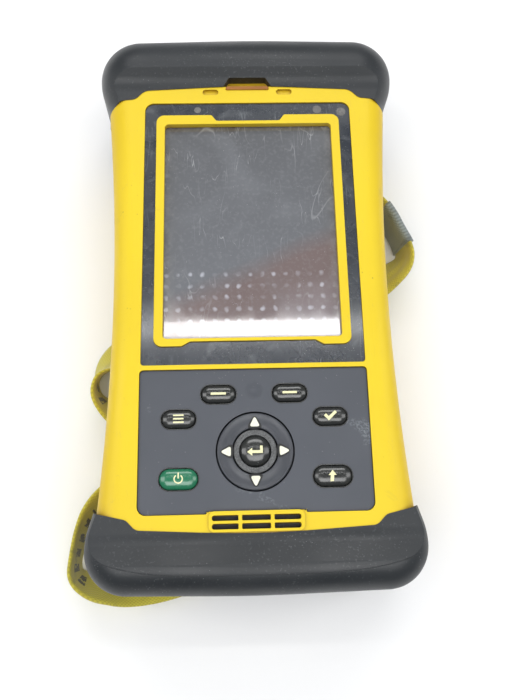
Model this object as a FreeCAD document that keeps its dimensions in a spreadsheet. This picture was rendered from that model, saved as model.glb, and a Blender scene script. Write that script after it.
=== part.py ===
import FreeCAD, Part
import math
import os
import re
import Sketcher
from FreeCAD import Placement, Rotation, Vector

# A rugged handheld data collector, lying on its back with a loose hand strap under it.
# +X is its right side, +Y its top end and +Z leaves the screen. The origin is under the
# middle of the device, on the surface that it lies on. All sizes are in millimetres.

SIZES = {
    # levels above the table
    "boot_depth": 50.0,
    "face_level": 46.5,
    "back_level": 8.0,
    "parting_level": 25.0,
    "inner_back_level": 11.0,
    "inner_face_level": 42.5,
    "grille_level": 47.0,
    # housing
    "end_length": 84.6,
    "end_width": 89.0,
    "end_top_level": 44.0,
    "end_corner": 9.0,
    "top_end_start": 58.0,
    "bottom_end_start": 64.5,
    "waist_corner_x": 39.85,
    "waist_y": -8.0,
    "waist_radius": 680.0,
    "front_round": 6.5,
    "back_round": 8.0,
    "cavity_width": 78.8,
    "cavity_length": 164.0,
    "cavity_corner": 5.0,
    # boots
    "boot_half_length": 88.75,
    "top_boot_half_width": 50.2,
    "bottom_boot_half_width": 48.8,
    "top_boot_mouth": 57.0,
    "bottom_boot_mouth": 65.9,
    "top_boot_round": 12.5,
    "bottom_boot_round": 7.5,
    "boot_under_round": 8.0,
    "boot_lip_level": 46.7,
    # display
    "overlay_width": 66.0,
    "overlay_bottom": -24.6,
    "overlay_top": 61.85,
    "overlay_level": 46.0,
    "overlay_thickness": 0.8,
    "screen_width": 53.4,
    "screen_bottom": -16.8,
    "screen_top": 54.2,
    "rim_level": 46.8,
    "lip_level": 44.5,
    "glass_level": 44.2,
    "glass_thickness": 1.6,
    "glass_width": 57.8,
    "glass_bottom": -18.9,
    "glass_top": 56.9,
    "lcd_level": 42.5,
    "lcd_thickness": 3.1,
    "lcd_width": 63.6,
    "lcd_length": 77.0,
    "lcd_middle": 18.5,
    "tray_thickness": 1.1,
    # keypad
    "keypad_width": 66.4,
    "keypad_top": -26.2,
    "keypad_bottom": -67.0,
    "keypad_level": 46.0,
    "ledge_level": 43.5,
    "key_gap": 0.25,
    "key_flange_level": 42.3,
    "key_flange_thickness": 0.9,
    "key_flange_reach": 0.8,
    "key_top_level": 47.3,
    "mat_level": 41.4,
    "mat_thickness": 1.1,
    "dome_thickness": 0.3,
    "keypad_board_thickness": 1.6,
    "nav_y": -50.0,
    "nav_radius": 10.95,
    "nav_hole_radius": 11.3,
    # electronics
    "main_board_level": 33.0,
    "main_board_thickness": 1.6,
    "main_board_width": 65.0,
    "main_board_length": 122.0,
    "can_height": 2.6,
    # battery
    "battery_width": 54.4,
    "battery_length": 78.4,
    "battery_middle": -1.0,
    "bay_level": 31.0,
    "bay_gap": 0.3,
    "bay_wall": 2.0,
    "door_width": 60.0,
    "door_length": 104.0,
    "door_thickness": 1.6,
    "door_gasket_thickness": 0.4,
    "turn_screw_top": 46.0,
    "turn_screw_bottom": -48.0,
    "turn_screw_radius": 2.4,
    "turn_screw_head_radius": 5.0,
    # screws
    "boss_x": 36.2,
    "boss_radius": 3.5,
    "screw_radius": 1.25,
    "screw_head_radius": 2.4,
    "post_x": 29.0,
    "post_radius": 2.6,
    "board_screw_radius": 0.95,
    # connectors in the bottom end
    "connector_level": 17.5,
    "wall_inner_y": 82.0,
    "jack_nut_spacing": 25.0,
    "port_middle": 28.0,
    "hinge_level": 11.5,
    "hinge_y": 86.0,
    # strap
    "strap_width": 15.0,
    "strap_station_gap": 3.0,
    "strap_thickness": 1.4,
    "sleeve_thickness": 0.9,
    "bar_radius": 2.0,
    "bar_level": 3.2,
}

# The places of the keys: name, middle x and y, width and height of the visible dome.
KEYS = [
    ("soft_key_left", -10.35, -33.5, 9.9, 5.1),
    ("soft_key_right", 10.35, -33.5, 9.9, 5.1),
    ("start_key", -21.85, -40.55, 9.7, 5.1),
    ("accept_key", 21.85, -40.55, 9.7, 5.1),
    ("power_key", -21.8, -57.4, 10.8, 5.75),
    ("launch_key", 21.8, -57.4, 10.8, 5.75),
]

# The hand strap's route: x, y, z of its middle line and its tilt in degrees, where 0 lies
# flat, 90 stands on its edge and 180 lies flat with the other face up.
STRAP_ROUTE = [
    (0.0, 59.3, 3.2, 0),
    (0.8, 48.0, 3.8, 0),
    (14.0, 42.8, 4.0, 0),
    (29.0, 43.8, 4.0, 4),
    (40.5, 43.6, 4.4, 16),
    (46.6, 39.9, 8.2, 72),
    (50.5, 35.0, 8.8, 84),
    (53.1, 29.2, 8.8, 87),
    (55.5, 23.0, 8.6, 80),
    (53.6, 18.4, 7.8, 58),
    (48.4, 14.6, 6.6, 44),
    (41.0, 10.8, 5.0, 24),
    (29.0, 6.6, 4.0, 6),
    (10.0, 1.5, 4.0, 0),
    (-10.0, -4.0, 4.0, 0),
    (-28.0, -6.5, 3.8, 3),
    (-42.5, -11.2, 4.2, 12),
    (-51.2, -18.6, 8.0, 78),
    (-51.6, -25.6, 8.2, 98),
    (-46.8, -30.4, 7.2, 120),
    (-39.5, -33.4, 5.2, 150),
    (-30.0, -36.4, 4.0, 172),
    (-19.0, -38.4, 4.0, 180),
    (-8.5, -38.0, 4.0, 180),
    (-3.0, -47.5, 4.0, 180),
    (-8.5, -57.0, 4.0, 180),
    (-20.0, -58.2, 4.0, 180),
    (-33.0, -57.4, 4.0, 172),
    (-43.5, -58.2, 5.8, 144),
    (-50.4, -62.8, 7.8, 116),
    (-54.2, -69.6, 8.3, 100),
    (-56.2, -77.0, 8.3, 92),
    (-55.7, -82.6, 8.1, 102),
    (-50.6, -85.2, 6.9, 124),
    (-44.0, -84.8, 4.8, 150),
    (-36.0, -84.0, 3.6, 170),
    (-27.5, -82.4, 3.2, 178),
    (-17.0, -79.0, 3.2, 180),
    (-7.6, -75.8, 3.2, 180),
]

doc = FreeCAD.newDocument("data_collector")
sheet = doc.addObject("Spreadsheet::Sheet", "Sizes")
for row, (alias, value) in enumerate(SIZES.items(), start=1):
    sheet.set(f"A{row}", alias)
    sheet.set(f"B{row}", str(value))
    sheet.setAlias(f"B{row}", alias)
doc.recompute()

nodes = {}


# Values and bindings ---------------------------------------------------------------------


def size(text):
    """The number that a formula of the sheet's names gives."""
    return float(sheet.evalExpression(str(text)))


def bound(thing, setting, text):
    """Binds a setting of a document object to a formula of the sheet's names."""
    formula = re.sub(r"[a-z_]+", r"Sizes.\g<0>", str(text))
    thing.setExpression(setting, formula)


def place(thing, x="0", y="0", z="0", turn=None):
    """Puts a document object at a point bound to the sheet."""
    if turn is not None:
        thing.Placement = Placement(Vector(), turn)
    bound(thing, "Placement.Base.x", x)
    bound(thing, "Placement.Base.y", y)
    bound(thing, "Placement.Base.z", z)


def node(name, thing):
    """Names a finished sub-part."""
    thing.Label = name
    nodes[name] = thing
    return thing


# PartDesign bodies -----------------------------------------------------------------------


def new_body(name):
    return doc.addObject("PartDesign::Body", name)


def new_sketch(body, level, plane="XY_Plane"):
    """A sketch on one of the body's own planes, at a level along that plane's normal."""
    sketch = body.newObject("Sketcher::SketchObject", f"{body.Name}_outline")
    origin = [item for item in body.Origin.OriginFeatures if item.Role == plane]
    sketch.AttachmentSupport = [(origin[0], "")]
    sketch.MapMode = "FlatFace"
    bound(sketch, "AttachmentOffset.Base.z", level)
    return sketch


def rectangle(sketch, width, height, corner, x="0", y="0"):
    """A rectangle with round corners about (x, y), constrained by the sheet's sizes."""
    half_w = size(width) / 2
    half_h = size(height) / 2
    radius = size(corner)
    middle = Vector(size(x), size(y), 0)
    spots = [(1, -1), (1, 1), (-1, 1), (-1, -1)]
    centres = [
        middle + Vector(sx * (half_w - radius), sy * (half_h - radius), 0)
        for sx, sy in spots
    ]
    starts = [-0.5 * math.pi + 0.5 * math.pi * k for k in range(4)]
    arcs = [
        Part.ArcOfCircle(Part.Circle(c, Vector(0, 0, 1), radius), a, a + 0.5 * math.pi)
        for c, a in zip(centres, starts)
    ]
    lines = [
        Part.LineSegment(arcs[k - 1].EndPoint, arcs[k].StartPoint) for k in range(4)
    ]
    first = sketch.GeometryCount
    sketch.addGeometry(lines + arcs, False)
    limit = Sketcher.Constraint
    for k in range(4):
        sketch.addConstraint(limit("Tangent", first + k, 2, first + 4 + k, 1))
        sketch.addConstraint(
            limit("Tangent", first + 4 + k, 2, first + (k + 1) % 4, 1)
        )
    for k in (0, 2):
        sketch.addConstraint(limit("Horizontal", first + k))
        sketch.addConstraint(limit("Vertical", first + k + 1))
    for k in range(1, 4):
        sketch.addConstraint(limit("Equal", first + 4, first + 4 + k))
    named = [
        ("corner", limit("Radius", first + 4, radius), corner),
        (
            "width",
            limit("DistanceX", first + 3, 1, first + 1, 1, 2 * half_w),
            width,
        ),
        (
            "height",
            limit("DistanceY", first, 1, first + 2, 1, 2 * half_h),
            height,
        ),
        (
            "right",
            limit("DistanceX", -1, 1, first + 1, 1, middle.x + half_w),
            f"({x}) + ({width}) / 2",
        ),
        (
            "top",
            limit("DistanceY", -1, 1, first + 2, 1, middle.y + half_h),
            f"({y}) + ({height}) / 2",
        ),
    ]
    bind_constraints(sketch, named, first)


def circle(sketch, radius, x="0", y="0"):
    """A circle about (x, y), constrained by the sheet's sizes."""
    limit = Sketcher.Constraint
    middle = Vector(size(x), size(y), 0)
    first = sketch.addGeometry(
        Part.Circle(middle, Vector(0, 0, 1), size(radius)), False
    )
    named = [
        ("radius", limit("Radius", first, size(radius)), radius),
        ("across", limit("DistanceX", -1, 1, first, 3, middle.x), x),
        ("along", limit("DistanceY", -1, 1, first, 3, middle.y), y),
    ]
    bind_constraints(sketch, named, first)


def bind_constraints(sketch, named, first):
    """Adds named constraints and binds each one's value to the sheet."""
    for name, constraint, text in named:
        index = sketch.addConstraint(constraint)
        sketch.renameConstraint(index, f"{name}{first}")
        if re.search("[a-z]", str(text)):
            bound(sketch, f"Constraints.{name}{first}", text)


def polygon(sketch, corners):
    """A closed outline through corners given as (x, y, radius of the rounding)."""
    count = len(corners)
    entries = []
    exits = []
    for index in range(count):
        before = Vector(*corners[index - 1][:2], 0)
        corner = Vector(*corners[index][:2], 0)
        after = Vector(*corners[(index + 1) % count][:2], 0)
        radius = corners[index][2]
        back = (before - corner).normalize()
        ahead = (after - corner).normalize()
        half_angle = back.getAngle(ahead) / 2
        reach = radius / math.tan(half_angle) if radius else 0.0
        entries.append(corner + back * reach)
        exits.append(corner + ahead * reach)
        if radius:
            towards = (back + ahead).normalize()
            centre = corner + towards * (radius / math.sin(half_angle))
            rim = entries[-1] if back.cross(ahead).z < 0 else exits[-1]
            start_angle = math.atan2(rim.y - centre.y, rim.x - centre.x)
            sweep = math.pi - 2 * half_angle
            ring = Part.Circle(centre, Vector(0, 0, 1), radius)
            sketch.addGeometry(Part.ArcOfCircle(ring, start_angle, start_angle + sweep), False)
    for index in range(count):
        start = exits[index - 1]
        end = entries[index]
        if start.distanceToPoint(end) > 1e-4:
            sketch.addGeometry(Part.LineSegment(start, end), False)


def mirrored(corners):
    """Closes an outline whose right half is given from its bottom to its top."""
    return corners + [(-x, y, r) for x, y, r in reversed(corners) if x > 0]


def pad(body, sketch, height):
    feature = body.newObject("PartDesign::Pad", f"{body.Name}_pad")
    feature.Profile = sketch
    bound(feature, "Length", height)
    return feature


def pocket(body, sketch, depth):
    """Cuts the sketch downwards, against its plane's normal, and makes sure that it cuts."""
    doc.recompute()
    before = body.Shape.Volume
    feature = body.newObject("PartDesign::Pocket", f"{body.Name}_pocket")
    feature.Profile = sketch
    bound(feature, "Length", depth)
    doc.recompute()
    if body.Shape.Volume >= before:
        raise RuntimeError(f"{feature.Name} cuts nothing")
    return feature


def revolve(body, sketch):
    feature = body.newObject("PartDesign::Revolution", f"{body.Name}_turned")
    feature.Profile = sketch
    feature.ReferenceAxis = (sketch, ["V_Axis"])
    feature.Angle = 360
    return feature


def fillet(body, radius, wanted):
    """Rounds the edges of the body for which wanted(edge) is true."""
    doc.recompute()
    base = body.Tip
    names = [
        f"Edge{number}"
        for number, edge in enumerate(base.Shape.Edges, start=1)
        if wanted(edge)
    ]
    feature = body.newObject("PartDesign::Fillet", f"{body.Name}_round")
    feature.Base = (base, names)
    bound(feature, "Radius", radius)
    doc.recompute()
    return feature


def plate(name, rectangles, bottom, thickness, plane="XY_Plane"):
    """A flat body: rectangles drawn in one sketch, the inner ones as holes, and padded."""
    body = new_body(name)
    sketch = new_sketch(body, bottom, plane)
    for entry in rectangles:
        rectangle(sketch, *entry)
    pad(body, sketch, thickness)
    return body


def turned(name, profile, x="0", y="0"):
    """A body turned about +Z from a profile of (radius, height, rounding) corners."""
    body = new_body(name)
    sketch = new_sketch(body, "0", "XZ_Plane")
    polygon(sketch, profile)
    revolve(body, sketch)
    place(body, x, y)
    return body


# Part primitives and booleans ------------------------------------------------------------

ALONG_X = Rotation(Vector(0, 0, 1), Vector(1, 0, 0))
ALONG_Y = Rotation(Vector(0, 0, 1), Vector(0, 1, 0))


def cylinder(name, radius, height, x="0", y="0", z="0", turn=None):
    thing = doc.addObject("Part::Cylinder", name)
    bound(thing, "Radius", radius)
    bound(thing, "Height", height)
    place(thing, x, y, z, turn)
    return thing


def box(name, lengths, low):
    """A block of three lengths from its lowest corner."""
    thing = doc.addObject("Part::Box", name)
    for setting, text in zip(("Length", "Width", "Height"), lengths):
        bound(thing, setting, text)
    place(thing, *low)
    return thing


def span_box(name, x_range, y_range, z_range):
    """A block between two limits along each axis."""
    ranges = (x_range, y_range, z_range)
    lengths = [f"({high}) - ({low})" for low, high in ranges]
    return box(name, lengths, [low for low, high in ranges])


def join(name, pieces):
    thing = doc.addObject("Part::MultiFuse", name)
    thing.Shapes = pieces
    return thing


def cut(name, base, tools):
    """The base less every tool."""
    tool = tools[0] if len(tools) == 1 else join(f"{name}_tools", tools)
    thing = doc.addObject("Part::Cut", name)
    thing.Base = base
    thing.Tool = tool
    return thing


def overlap(name, first, second):
    thing = doc.addObject("Part::Common", name)
    thing.Base = first
    thing.Tool = second
    return thing


def group(name, pieces):
    """Separate solids that share one node."""
    thing = doc.addObject("Part::Compound", name)
    thing.Links = pieces
    return thing


# Housing ---------------------------------------------------------------------------------


def housing_outline():
    """The waisted middle of the housing, with the stepped edges that the boots follow."""
    right_half = [
        (0, -72.8, 300),
        (33.6, -71.0, 3),
        (36.3, -68.2, 3),
        (45.2, -66.2, 0),
        (size("waist_corner_x"), size("waist_y"), size("waist_radius")),
        (45.1, 60.0, 0),
        (41.0, 63.1, 4),
        (36.4, 63.5, 3),
        (33.4, 66.6, 4),
        (0, 68.3, 300),
    ]
    return mirrored(right_half)


def is_long_side_edge(level):
    """Picks the long side edges of the waisted block at one level."""

    def wanted(edge):
        low = edge.BoundBox.ZMin
        high = edge.BoundBox.ZMax
        flat = abs(low - level) < 0.01 and abs(high - level) < 0.01
        outside = min(abs(edge.BoundBox.XMin), abs(edge.BoundBox.XMax)) > 40.9
        return flat and outside and edge.BoundBox.YLength > 3.5

    return wanted


def housing_block():
    """The outside of both housings: the waisted middle and a plain end in each boot."""
    body = new_body("housing_block")
    sketch = new_sketch(body, "back_level")
    polygon(sketch, housing_outline())
    pad(body, sketch, "face_level - back_level")
    fillet(body, "front_round", is_long_side_edge(size("face_level")))
    fillet(body, "back_round", is_long_side_edge(size("back_level")))
    for start, sign in (("top_end_start", ""), ("bottom_end_start", "-")):
        sketch = new_sketch(body, "back_level")
        middle = f"{sign}({start} + end_length) / 2"
        rectangle(sketch, "end_width", f"end_length - {start}", "end_corner", "0", middle)
        pad(body, sketch, "end_top_level - back_level")
    return body


def bosses(name, low, high):
    """Screw bosses beside the long walls."""
    return [
        cylinder(f"{name}_boss", "boss_radius", f"{high} - {low}", x, y, low)
        for x in ("boss_x", "-boss_x")
        for y in ("50", "-6", "-57")
    ]


def screw_holes(name, radius, low, high):
    return [
        cylinder(f"{name}_hole", radius, f"{high} - ({low})", x, y, low)
        for x in ("boss_x", "-boss_x")
        for y in ("50", "-6", "-57")
    ]


def battery_bay(name, grow, low, high):
    """A block round the battery: grow is the clearance and any wall thickness."""
    return plate(
        name,
        [(f"battery_width + 2 * ({grow})", f"battery_length + 2 * ({grow})", 2, 0, "battery_middle")],
        low,
        f"{high} - ({low})",
    )


def end_wall_holes():
    """Holes through the bottom end wall for the connectors."""
    serial = plate(
        "serial_hole",
        [(17.8, 9.2, 2.5, 0, "connector_level")],
        "wall_inner_y - 1",
        5,
        "XZ_Plane",
    )
    usb = plate(
        "usb_hole", [(9.0, 4.4, 0.6, 23.5, "connector_level")], "wall_inner_y - 1", 5, "XZ_Plane"
    )
    power = cylinder("power_hole", 3.4, 5, 32, "-end_length - 1", "connector_level", ALONG_Y)
    nuts = [
        cylinder("nut_hole", 1.7, 5, x, "-end_length - 1", "connector_level", ALONG_Y)
        for x in ("jack_nut_spacing / 2", "-jack_nut_spacing / 2")
    ]
    return [serial, usb, power] + nuts


def cavity(name):
    return plate(
        name,
        [("cavity_width", "cavity_length", "cavity_corner")],
        "inner_back_level",
        "inner_face_level - inner_back_level",
    )


def seal_ring(name):
    """The thin gasket in the parting line, and the groove that it lies in."""
    rings = [(82.0, 168.0, 6), (80.4, 166.4, 5)]
    return plate(name, rings, "parting_level - 0.3", 0.6)


def build_rear_housing(block):
    """The back shell with the battery bay, board posts, screw bosses and connector holes."""
    lower = span_box("lower_half", (-60, 60), (-100, 100), (0, "parting_level"))
    shell = cut("rear_shell", overlap("rear_block", block, lower), [cavity("rear_cavity")])
    bay = battery_bay("bay_outside", "bay_gap + bay_wall", "inner_back_level - 0.5", "bay_level + 1.5")
    post_height = "main_board_level - inner_back_level + 0.5"
    posts = [
        cylinder("post", "post_radius", post_height, x, y, "inner_back_level - 0.5")
        for x, y in POSTS
    ]
    posts += bosses("rear", "inner_back_level - 0.5", "parting_level")
    solid = join("rear_solid", [shell, bay] + posts)
    door_seat = "back_level + door_thickness + door_gasket_thickness"
    tools = [
        seal_ring("rear_seal_groove"),
        battery_bay("bay_inside", "bay_gap", 0, "bay_level"),
        plate(
            "door_recess",
            [("door_width + 0.4", "door_length + 0.4", 4, 0, "battery_middle")],
            0,
            door_seat,
        ),
        cylinder("camera_hole", 3.1, 12, -34, 38, 0),
    ]
    for y in ("turn_screw_top", "turn_screw_bottom"):
        tools.append(cylinder("turn_hole", "turn_screw_radius + 0.2", 12, 0, y, 0))
    for x, y in POSTS:
        tools.append(cylinder("post_hole", "board_screw_radius + 0.05", 8, x, y, "main_board_level - 7"))
    tools += screw_holes("rear_head", "screw_head_radius + 0.3", 0, 11.8)
    tools += screw_holes("rear_shank", "screw_radius + 0.15", 0, 26)
    tools += end_wall_holes()
    node("rear_housing", cut("rear_housing_cut", solid, tools))


POSTS = [(x, y) for x in ("post_x", "-post_x") for y in (48, -50)]


def rim_outline(gap):
    """The raised rim round the screen, with its shallow steps at the top and bottom."""
    right_half = [
        (0, -17.7 - gap, 0),
        (18.6, -17.7 - gap, 1),
        (21.1, -19.1 - gap, 1),
        (29.35 + gap, -19.1 - gap, 2.5),
        (29.35 + gap, 57.4 + gap, 2.5),
        (11.7, 57.4 + gap, 1),
        (10.2, 55.3 + gap, 1),
        (0, 55.3 + gap, 0),
    ]
    return mirrored(right_half)


def overlay_outline(gap):
    right_half = [
        (size("overlay_width / 2") + gap, size("overlay_bottom") - gap, 1.0),
        (size("overlay_width / 2") + gap, size("overlay_top") + gap, 2.8),
    ]
    return mirrored(right_half)


def keypad_outline(gap):
    """The keypad's face with the notch that the speaker grille pushes into it."""
    half_width = size("keypad_width / 2") + gap
    low = size("keypad_bottom") - gap
    right_half = [
        (13.3 - gap, low, 0.5),
        (half_width, low, 2.5),
        (half_width, size("keypad_top") + gap, 1.2),
    ]
    left_half = [(-x, y, r) for x, y, r in reversed(right_half)]
    return right_half + left_half + [(-14.0 + gap, low + 0.7, 0.3), (14.0 - gap, low + 0.7, 0.3)]


def drawn_plate(name, outlines, bottom, thickness):
    """A flat body padded from drawn outlines, the inner ones as holes."""
    body = new_body(name)
    sketch = new_sketch(body, bottom)
    for outline in outlines:
        polygon(sketch, outline)
    pad(body, sketch, thickness)
    return body


def screen_opening():
    """The screen's opening as corners."""
    half_width = size("screen_width / 2")
    return mirrored([(half_width, size("screen_bottom"), 1.2), (half_width, size("screen_top"), 1.2)])


def grille_slots():
    """Two rows of three slots, the outer ends round."""
    slots = []
    for low, high in ((-69.0, -67.5), (-71.3, -69.75)):
        half = (high - low) / 2 - 0.05
        slots.append([(-4.1, low, 0.3), (3.9, low, 0.3), (3.9, high, 0.3), (-4.1, high, 0.3)])
        slots.append([(4.9, low, 0.3), (12.4, low, half), (12.4, high, half), (4.9, high, 0.3)])
        slots.append([(-12.5, low, half), (-5.1, low, 0.3), (-5.1, high, 0.3), (-12.5, high, half)])
    return drawn_plate("grille_slots", slots, "inner_face_level - 0.5", 6)


def build_front_housing(block):
    """The face shell: display recess and rim, keypad recess, grille and screw bosses."""
    upper = span_box("upper_half", (-60, 60), (-100, 100), ("parting_level", 60))
    shell = cut("front_shell", overlap("front_block", block, upper), [cavity("front_cavity")])
    recess = [
        drawn_plate("overlay_recess", [overlay_outline(0.1)], "overlay_level - overlay_thickness", 10),
        drawn_plate("screen_hole", [screen_opening()], "inner_face_level - 1", 10),
        plate(
            "glass_recess",
            [("glass_width + 0.2", "glass_top - glass_bottom + 0.2", 1, 0, "(glass_top + glass_bottom) / 2")],
            "inner_face_level - 1",
            "lip_level - inner_face_level + 1",
        ),
        drawn_plate("keypad_recess", [keypad_outline(0.15)], "ledge_level", 10),
        plate("keypad_hole", [(63, 37, 1, 0, -46.7)], "inner_face_level - 1", 10),
        plate(
            "light_slots", [(5.1, 2.0, 0.95, 12, 65.9), (5.1, 2.0, 0.95, -12, 65.9)], "face_level - 0.9", 5
        ),
    ]
    faced = cut("front_faced", shell, recess)
    additions = [
        drawn_plate("screen_rim", [rim_outline(0), screen_opening()], "lip_level", "rim_level - lip_level"),
        plate(
            "grille_frame",
            [(26.8, 5.6, 1.6, 0, -69.2)],
            "inner_face_level",
            "grille_level - inner_face_level",
        ),
    ]
    additions += bosses("front", "parting_level", "inner_face_level + 0.1")
    solid = join("front_solid", [faced] + additions)
    tools = [seal_ring("front_seal_groove"), grille_slots()]
    tools += screw_holes("front", "screw_radius + 0.05", "parting_level - 1", 38)
    node("front_housing", cut("front_housing_cut", solid, tools))


# Boots -----------------------------------------------------------------------------------


def boot_block(name, sign, flare, half_width, end_round, corner):
    """The outside of a rubber boot: a flared cap with rounded outer edges."""
    body = new_body(name)
    sketch = new_sketch(body, "0")
    half_length = size("boot_half_length")
    right_half = [(x, sign * y, radius) for x, y, radius in flare]
    right_half += [
        (size(half_width), sign * (half_length - 1.0), corner),
        (0, sign * (half_length + 0.1), 500),
    ]
    if sign < 0:
        right_half.reverse()
    polygon(sketch, mirrored(right_half))
    pad(body, sketch, "boot_depth")

    def is_outer_edge(level):
        def wanted(edge):
            flat = abs(edge.BoundBox.ZMin - level) < 0.01 and abs(edge.BoundBox.ZMax - level) < 0.01
            at_mouth = edge.BoundBox.YLength < 0.01
            return flat and not at_mouth

        return wanted

    fillet(body, end_round, is_outer_edge(size("boot_depth")))
    fillet(body, "boot_under_round", is_outer_edge(0.0))
    return body


def scoop(name, sign, low_y, ridge_y):
    """The hollow from the housing's face up to the boot's ridge, cut right across."""
    body = new_body(name)
    sketch = new_sketch(body, "-60", "YZ_Plane")
    lip = size("boot_lip_level")
    profile = [
        (sign * 50, lip, 0),
        (sign * low_y, lip, 8),
        (sign * ridge_y, size("boot_depth") + 0.3, 3),
        (sign * (ridge_y + 6), size("boot_depth") + 0.6, 0),
        (sign * (ridge_y + 6), 60, 0),
        (sign * 50, 60, 0),
    ]
    if sign < 0:
        profile.reverse()
    polygon(sketch, profile)
    pad(body, sketch, 120)
    return body


def build_boots(block):
    tall = drawn_plate("tall_middle", [housing_outline()], 20, 40)
    notch = [(7.8, 62.0, 0), (7.8, 67.9, 0.6), (6.0, 70.5, 0.8)]
    top_tools = [
        block,
        tall,
        scoop("top_scoop", 1, 69.0, 74.0),
        drawn_plate("top_notch", [mirrored(notch)], "end_top_level", 10),
        span_box("top_channel", (-12.5, 12.5), (50, 66), (-1, "back_level")),
        cylinder("top_bar_hole", "bar_radius", 34, -17, 62, "bar_level", ALONG_X),
    ]
    flare = [(45.2, size("top_boot_mouth"), 0), (45.5, 62.5, 8), (48.3, 70.0, 18)]
    top = boot_block("top_boot_block", 1, flare, "top_boot_half_width", "top_boot_round", 13.5)
    node("top_boot", cut("top_boot_cut", top, top_tools))
    bottom_tools = [
        block,
        tall,
        scoop("bottom_scoop", -1, 73.5, 81.0),
        span_box("strap_mouth", (-60, -12), (-95, -70), (-1, "back_level")),
        span_box("strap_channel", (-16.5, -1), (-86.2, -66.4), (-1, "back_level")),
        cylinder("bottom_bar_hole", "bar_radius", 20, -3, -85.6, "bar_level", ALONG_Y),
        span_box("serial_window", (-15.9, 15.9), (-95, "-end_length"), (10.8, 24.2)),
        span_box("port_window", (17.9, 38.1), (-95, "-end_length"), (9.0, 24.2)),
        cylinder("port_pin_hole", 0.8, 25.2, 15.4, "-hinge_y", "hinge_level", ALONG_X),
    ]
    flare = [(45.7, size("bottom_boot_mouth"), 0), (47.7, 72.0, 20)]
    bottom = boot_block("bottom_boot_block", -1, flare, "bottom_boot_half_width", "bottom_boot_round", 12.0)
    node("bottom_boot", cut("bottom_boot_cut", bottom, bottom_tools))


# Display ---------------------------------------------------------------------------------


def build_display():
    glass_bottom_level = "glass_level - glass_thickness"
    glass_middle = "(glass_top + glass_bottom) / 2"
    glass_length = "glass_top - glass_bottom"
    overlay = new_body("overlay")
    sketch = new_sketch(overlay, "overlay_level - overlay_thickness")
    polygon(sketch, overlay_outline(0))
    polygon(sketch, rim_outline(0.1))
    for x, y, radius in LIGHTS:
        circle(sketch, radius, x, y)
    pad(overlay, sketch, "overlay_thickness")
    node("display_overlay", overlay)
    lenses = [
        cylinder("lens", radius, "overlay_thickness", x, y, "overlay_level - overlay_thickness")
        for x, y, radius in LIGHTS
    ]
    node("indicator_lenses", group("lens_group", lenses))
    glass = [("glass_width", glass_length, 0.8, 0, glass_middle)]
    node("touch_panel", plate("glass", glass, glass_bottom_level, "glass_thickness"))
    gasket = [
        ("glass_width", glass_length, 0.8, 0, glass_middle),
        ("screen_width + 0.6", "screen_top - screen_bottom + 0.6", 1.2, 0, "(screen_top + screen_bottom) / 2"),
    ]
    node("display_gasket", plate("gasket", gasket, "glass_level", "lip_level - glass_level"))
    lcd = [("lcd_width", "lcd_length", 1, 0, "lcd_middle")]
    node("lcd_panel", plate("lcd", lcd, "lcd_level - lcd_thickness", "lcd_thickness"))
    tray = plate(
        "tray",
        [("lcd_width + 1.4", "lcd_length + 1.4", 1.5, 0, "lcd_middle")],
        "lcd_level - lcd_thickness - tray_thickness",
        "tray_thickness + 1.5",
    )
    sketch = new_sketch(tray, "lcd_level")
    rectangle(sketch, "lcd_width", "lcd_length", 1, 0, "lcd_middle")
    pocket(tray, sketch, "lcd_thickness")
    node("lcd_tray", tray)


LIGHTS = [(-16.2, 59.7, 1.1), (22.6, 59.6, 1.4), (30.4, 58.7, 1.5)]


# Keypad ----------------------------------------------------------------------------------


def build_keypad():
    face = new_body("keypad_panel")
    sketch = new_sketch(face, "ledge_level")
    polygon(sketch, keypad_outline(0))
    for name, x, y, width, height in KEYS:
        rectangle(sketch, f"{width} + 2 * key_gap", f"{height} + 2 * key_gap", f"{height} / 2 - 0.15", x, y)
    circle(sketch, "nav_hole_radius", 0, "nav_y")
    pad(face, sketch, "keypad_level - ledge_level")
    node("keypad_face", face)
    for name, x, y, width, height in KEYS:
        key = new_body(f"{name}_body")
        sketch = new_sketch(key, "key_flange_level")
        reach = "2 * key_flange_reach"
        rectangle(sketch, f"{width} + {reach}", f"{height} + {reach}", 2, x, y)
        pad(key, sketch, "key_flange_thickness")
        sketch = new_sketch(key, "key_flange_level")
        rectangle(sketch, width, height, f"{height} / 2 - 0.35", x, y)
        pad(key, sketch, "key_top_level - key_flange_level")
        top = size("key_top_level")
        fillet(key, 1.6, lambda edge: edge.BoundBox.ZMin > top - 0.01)
        node(name, key)
    build_nav_keys()
    mat = plate("mat", [(62, 35.6, 1, 0, -46.2)], "mat_level - mat_thickness", "mat_thickness")
    sketch = new_sketch(mat, "mat_level - mat_thickness + 0.5")
    for x, y in dome_places():
        circle(sketch, 2.5, x, y)
    pocket(mat, sketch, 0.5)
    node("keypad_mat", mat)
    domes = [
        cylinder("dome", 2.1, "dome_thickness", x, y, "mat_level - mat_thickness") for x, y in dome_places()
    ]
    node("dome_switches", group("dome_group", domes))
    board_top = "mat_level - mat_thickness"
    board_level = f"{board_top} - keypad_board_thickness"
    board = plate("pad_board", [(64, 36.3, 1, 0, -46.3)], board_level, "keypad_board_thickness")
    node("keypad_board", board)


def dome_places():
    """One metal dome under each key, one under the middle and four under the ring."""
    under_keys = [(x, y) for _, x, y, _, _ in KEYS]
    middle = size("nav_y")
    under_ring = [(0, middle), (8.5, middle), (-8.5, middle), (0, middle + 8.5), (0, middle - 8.5)]
    return under_keys + under_ring


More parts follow.
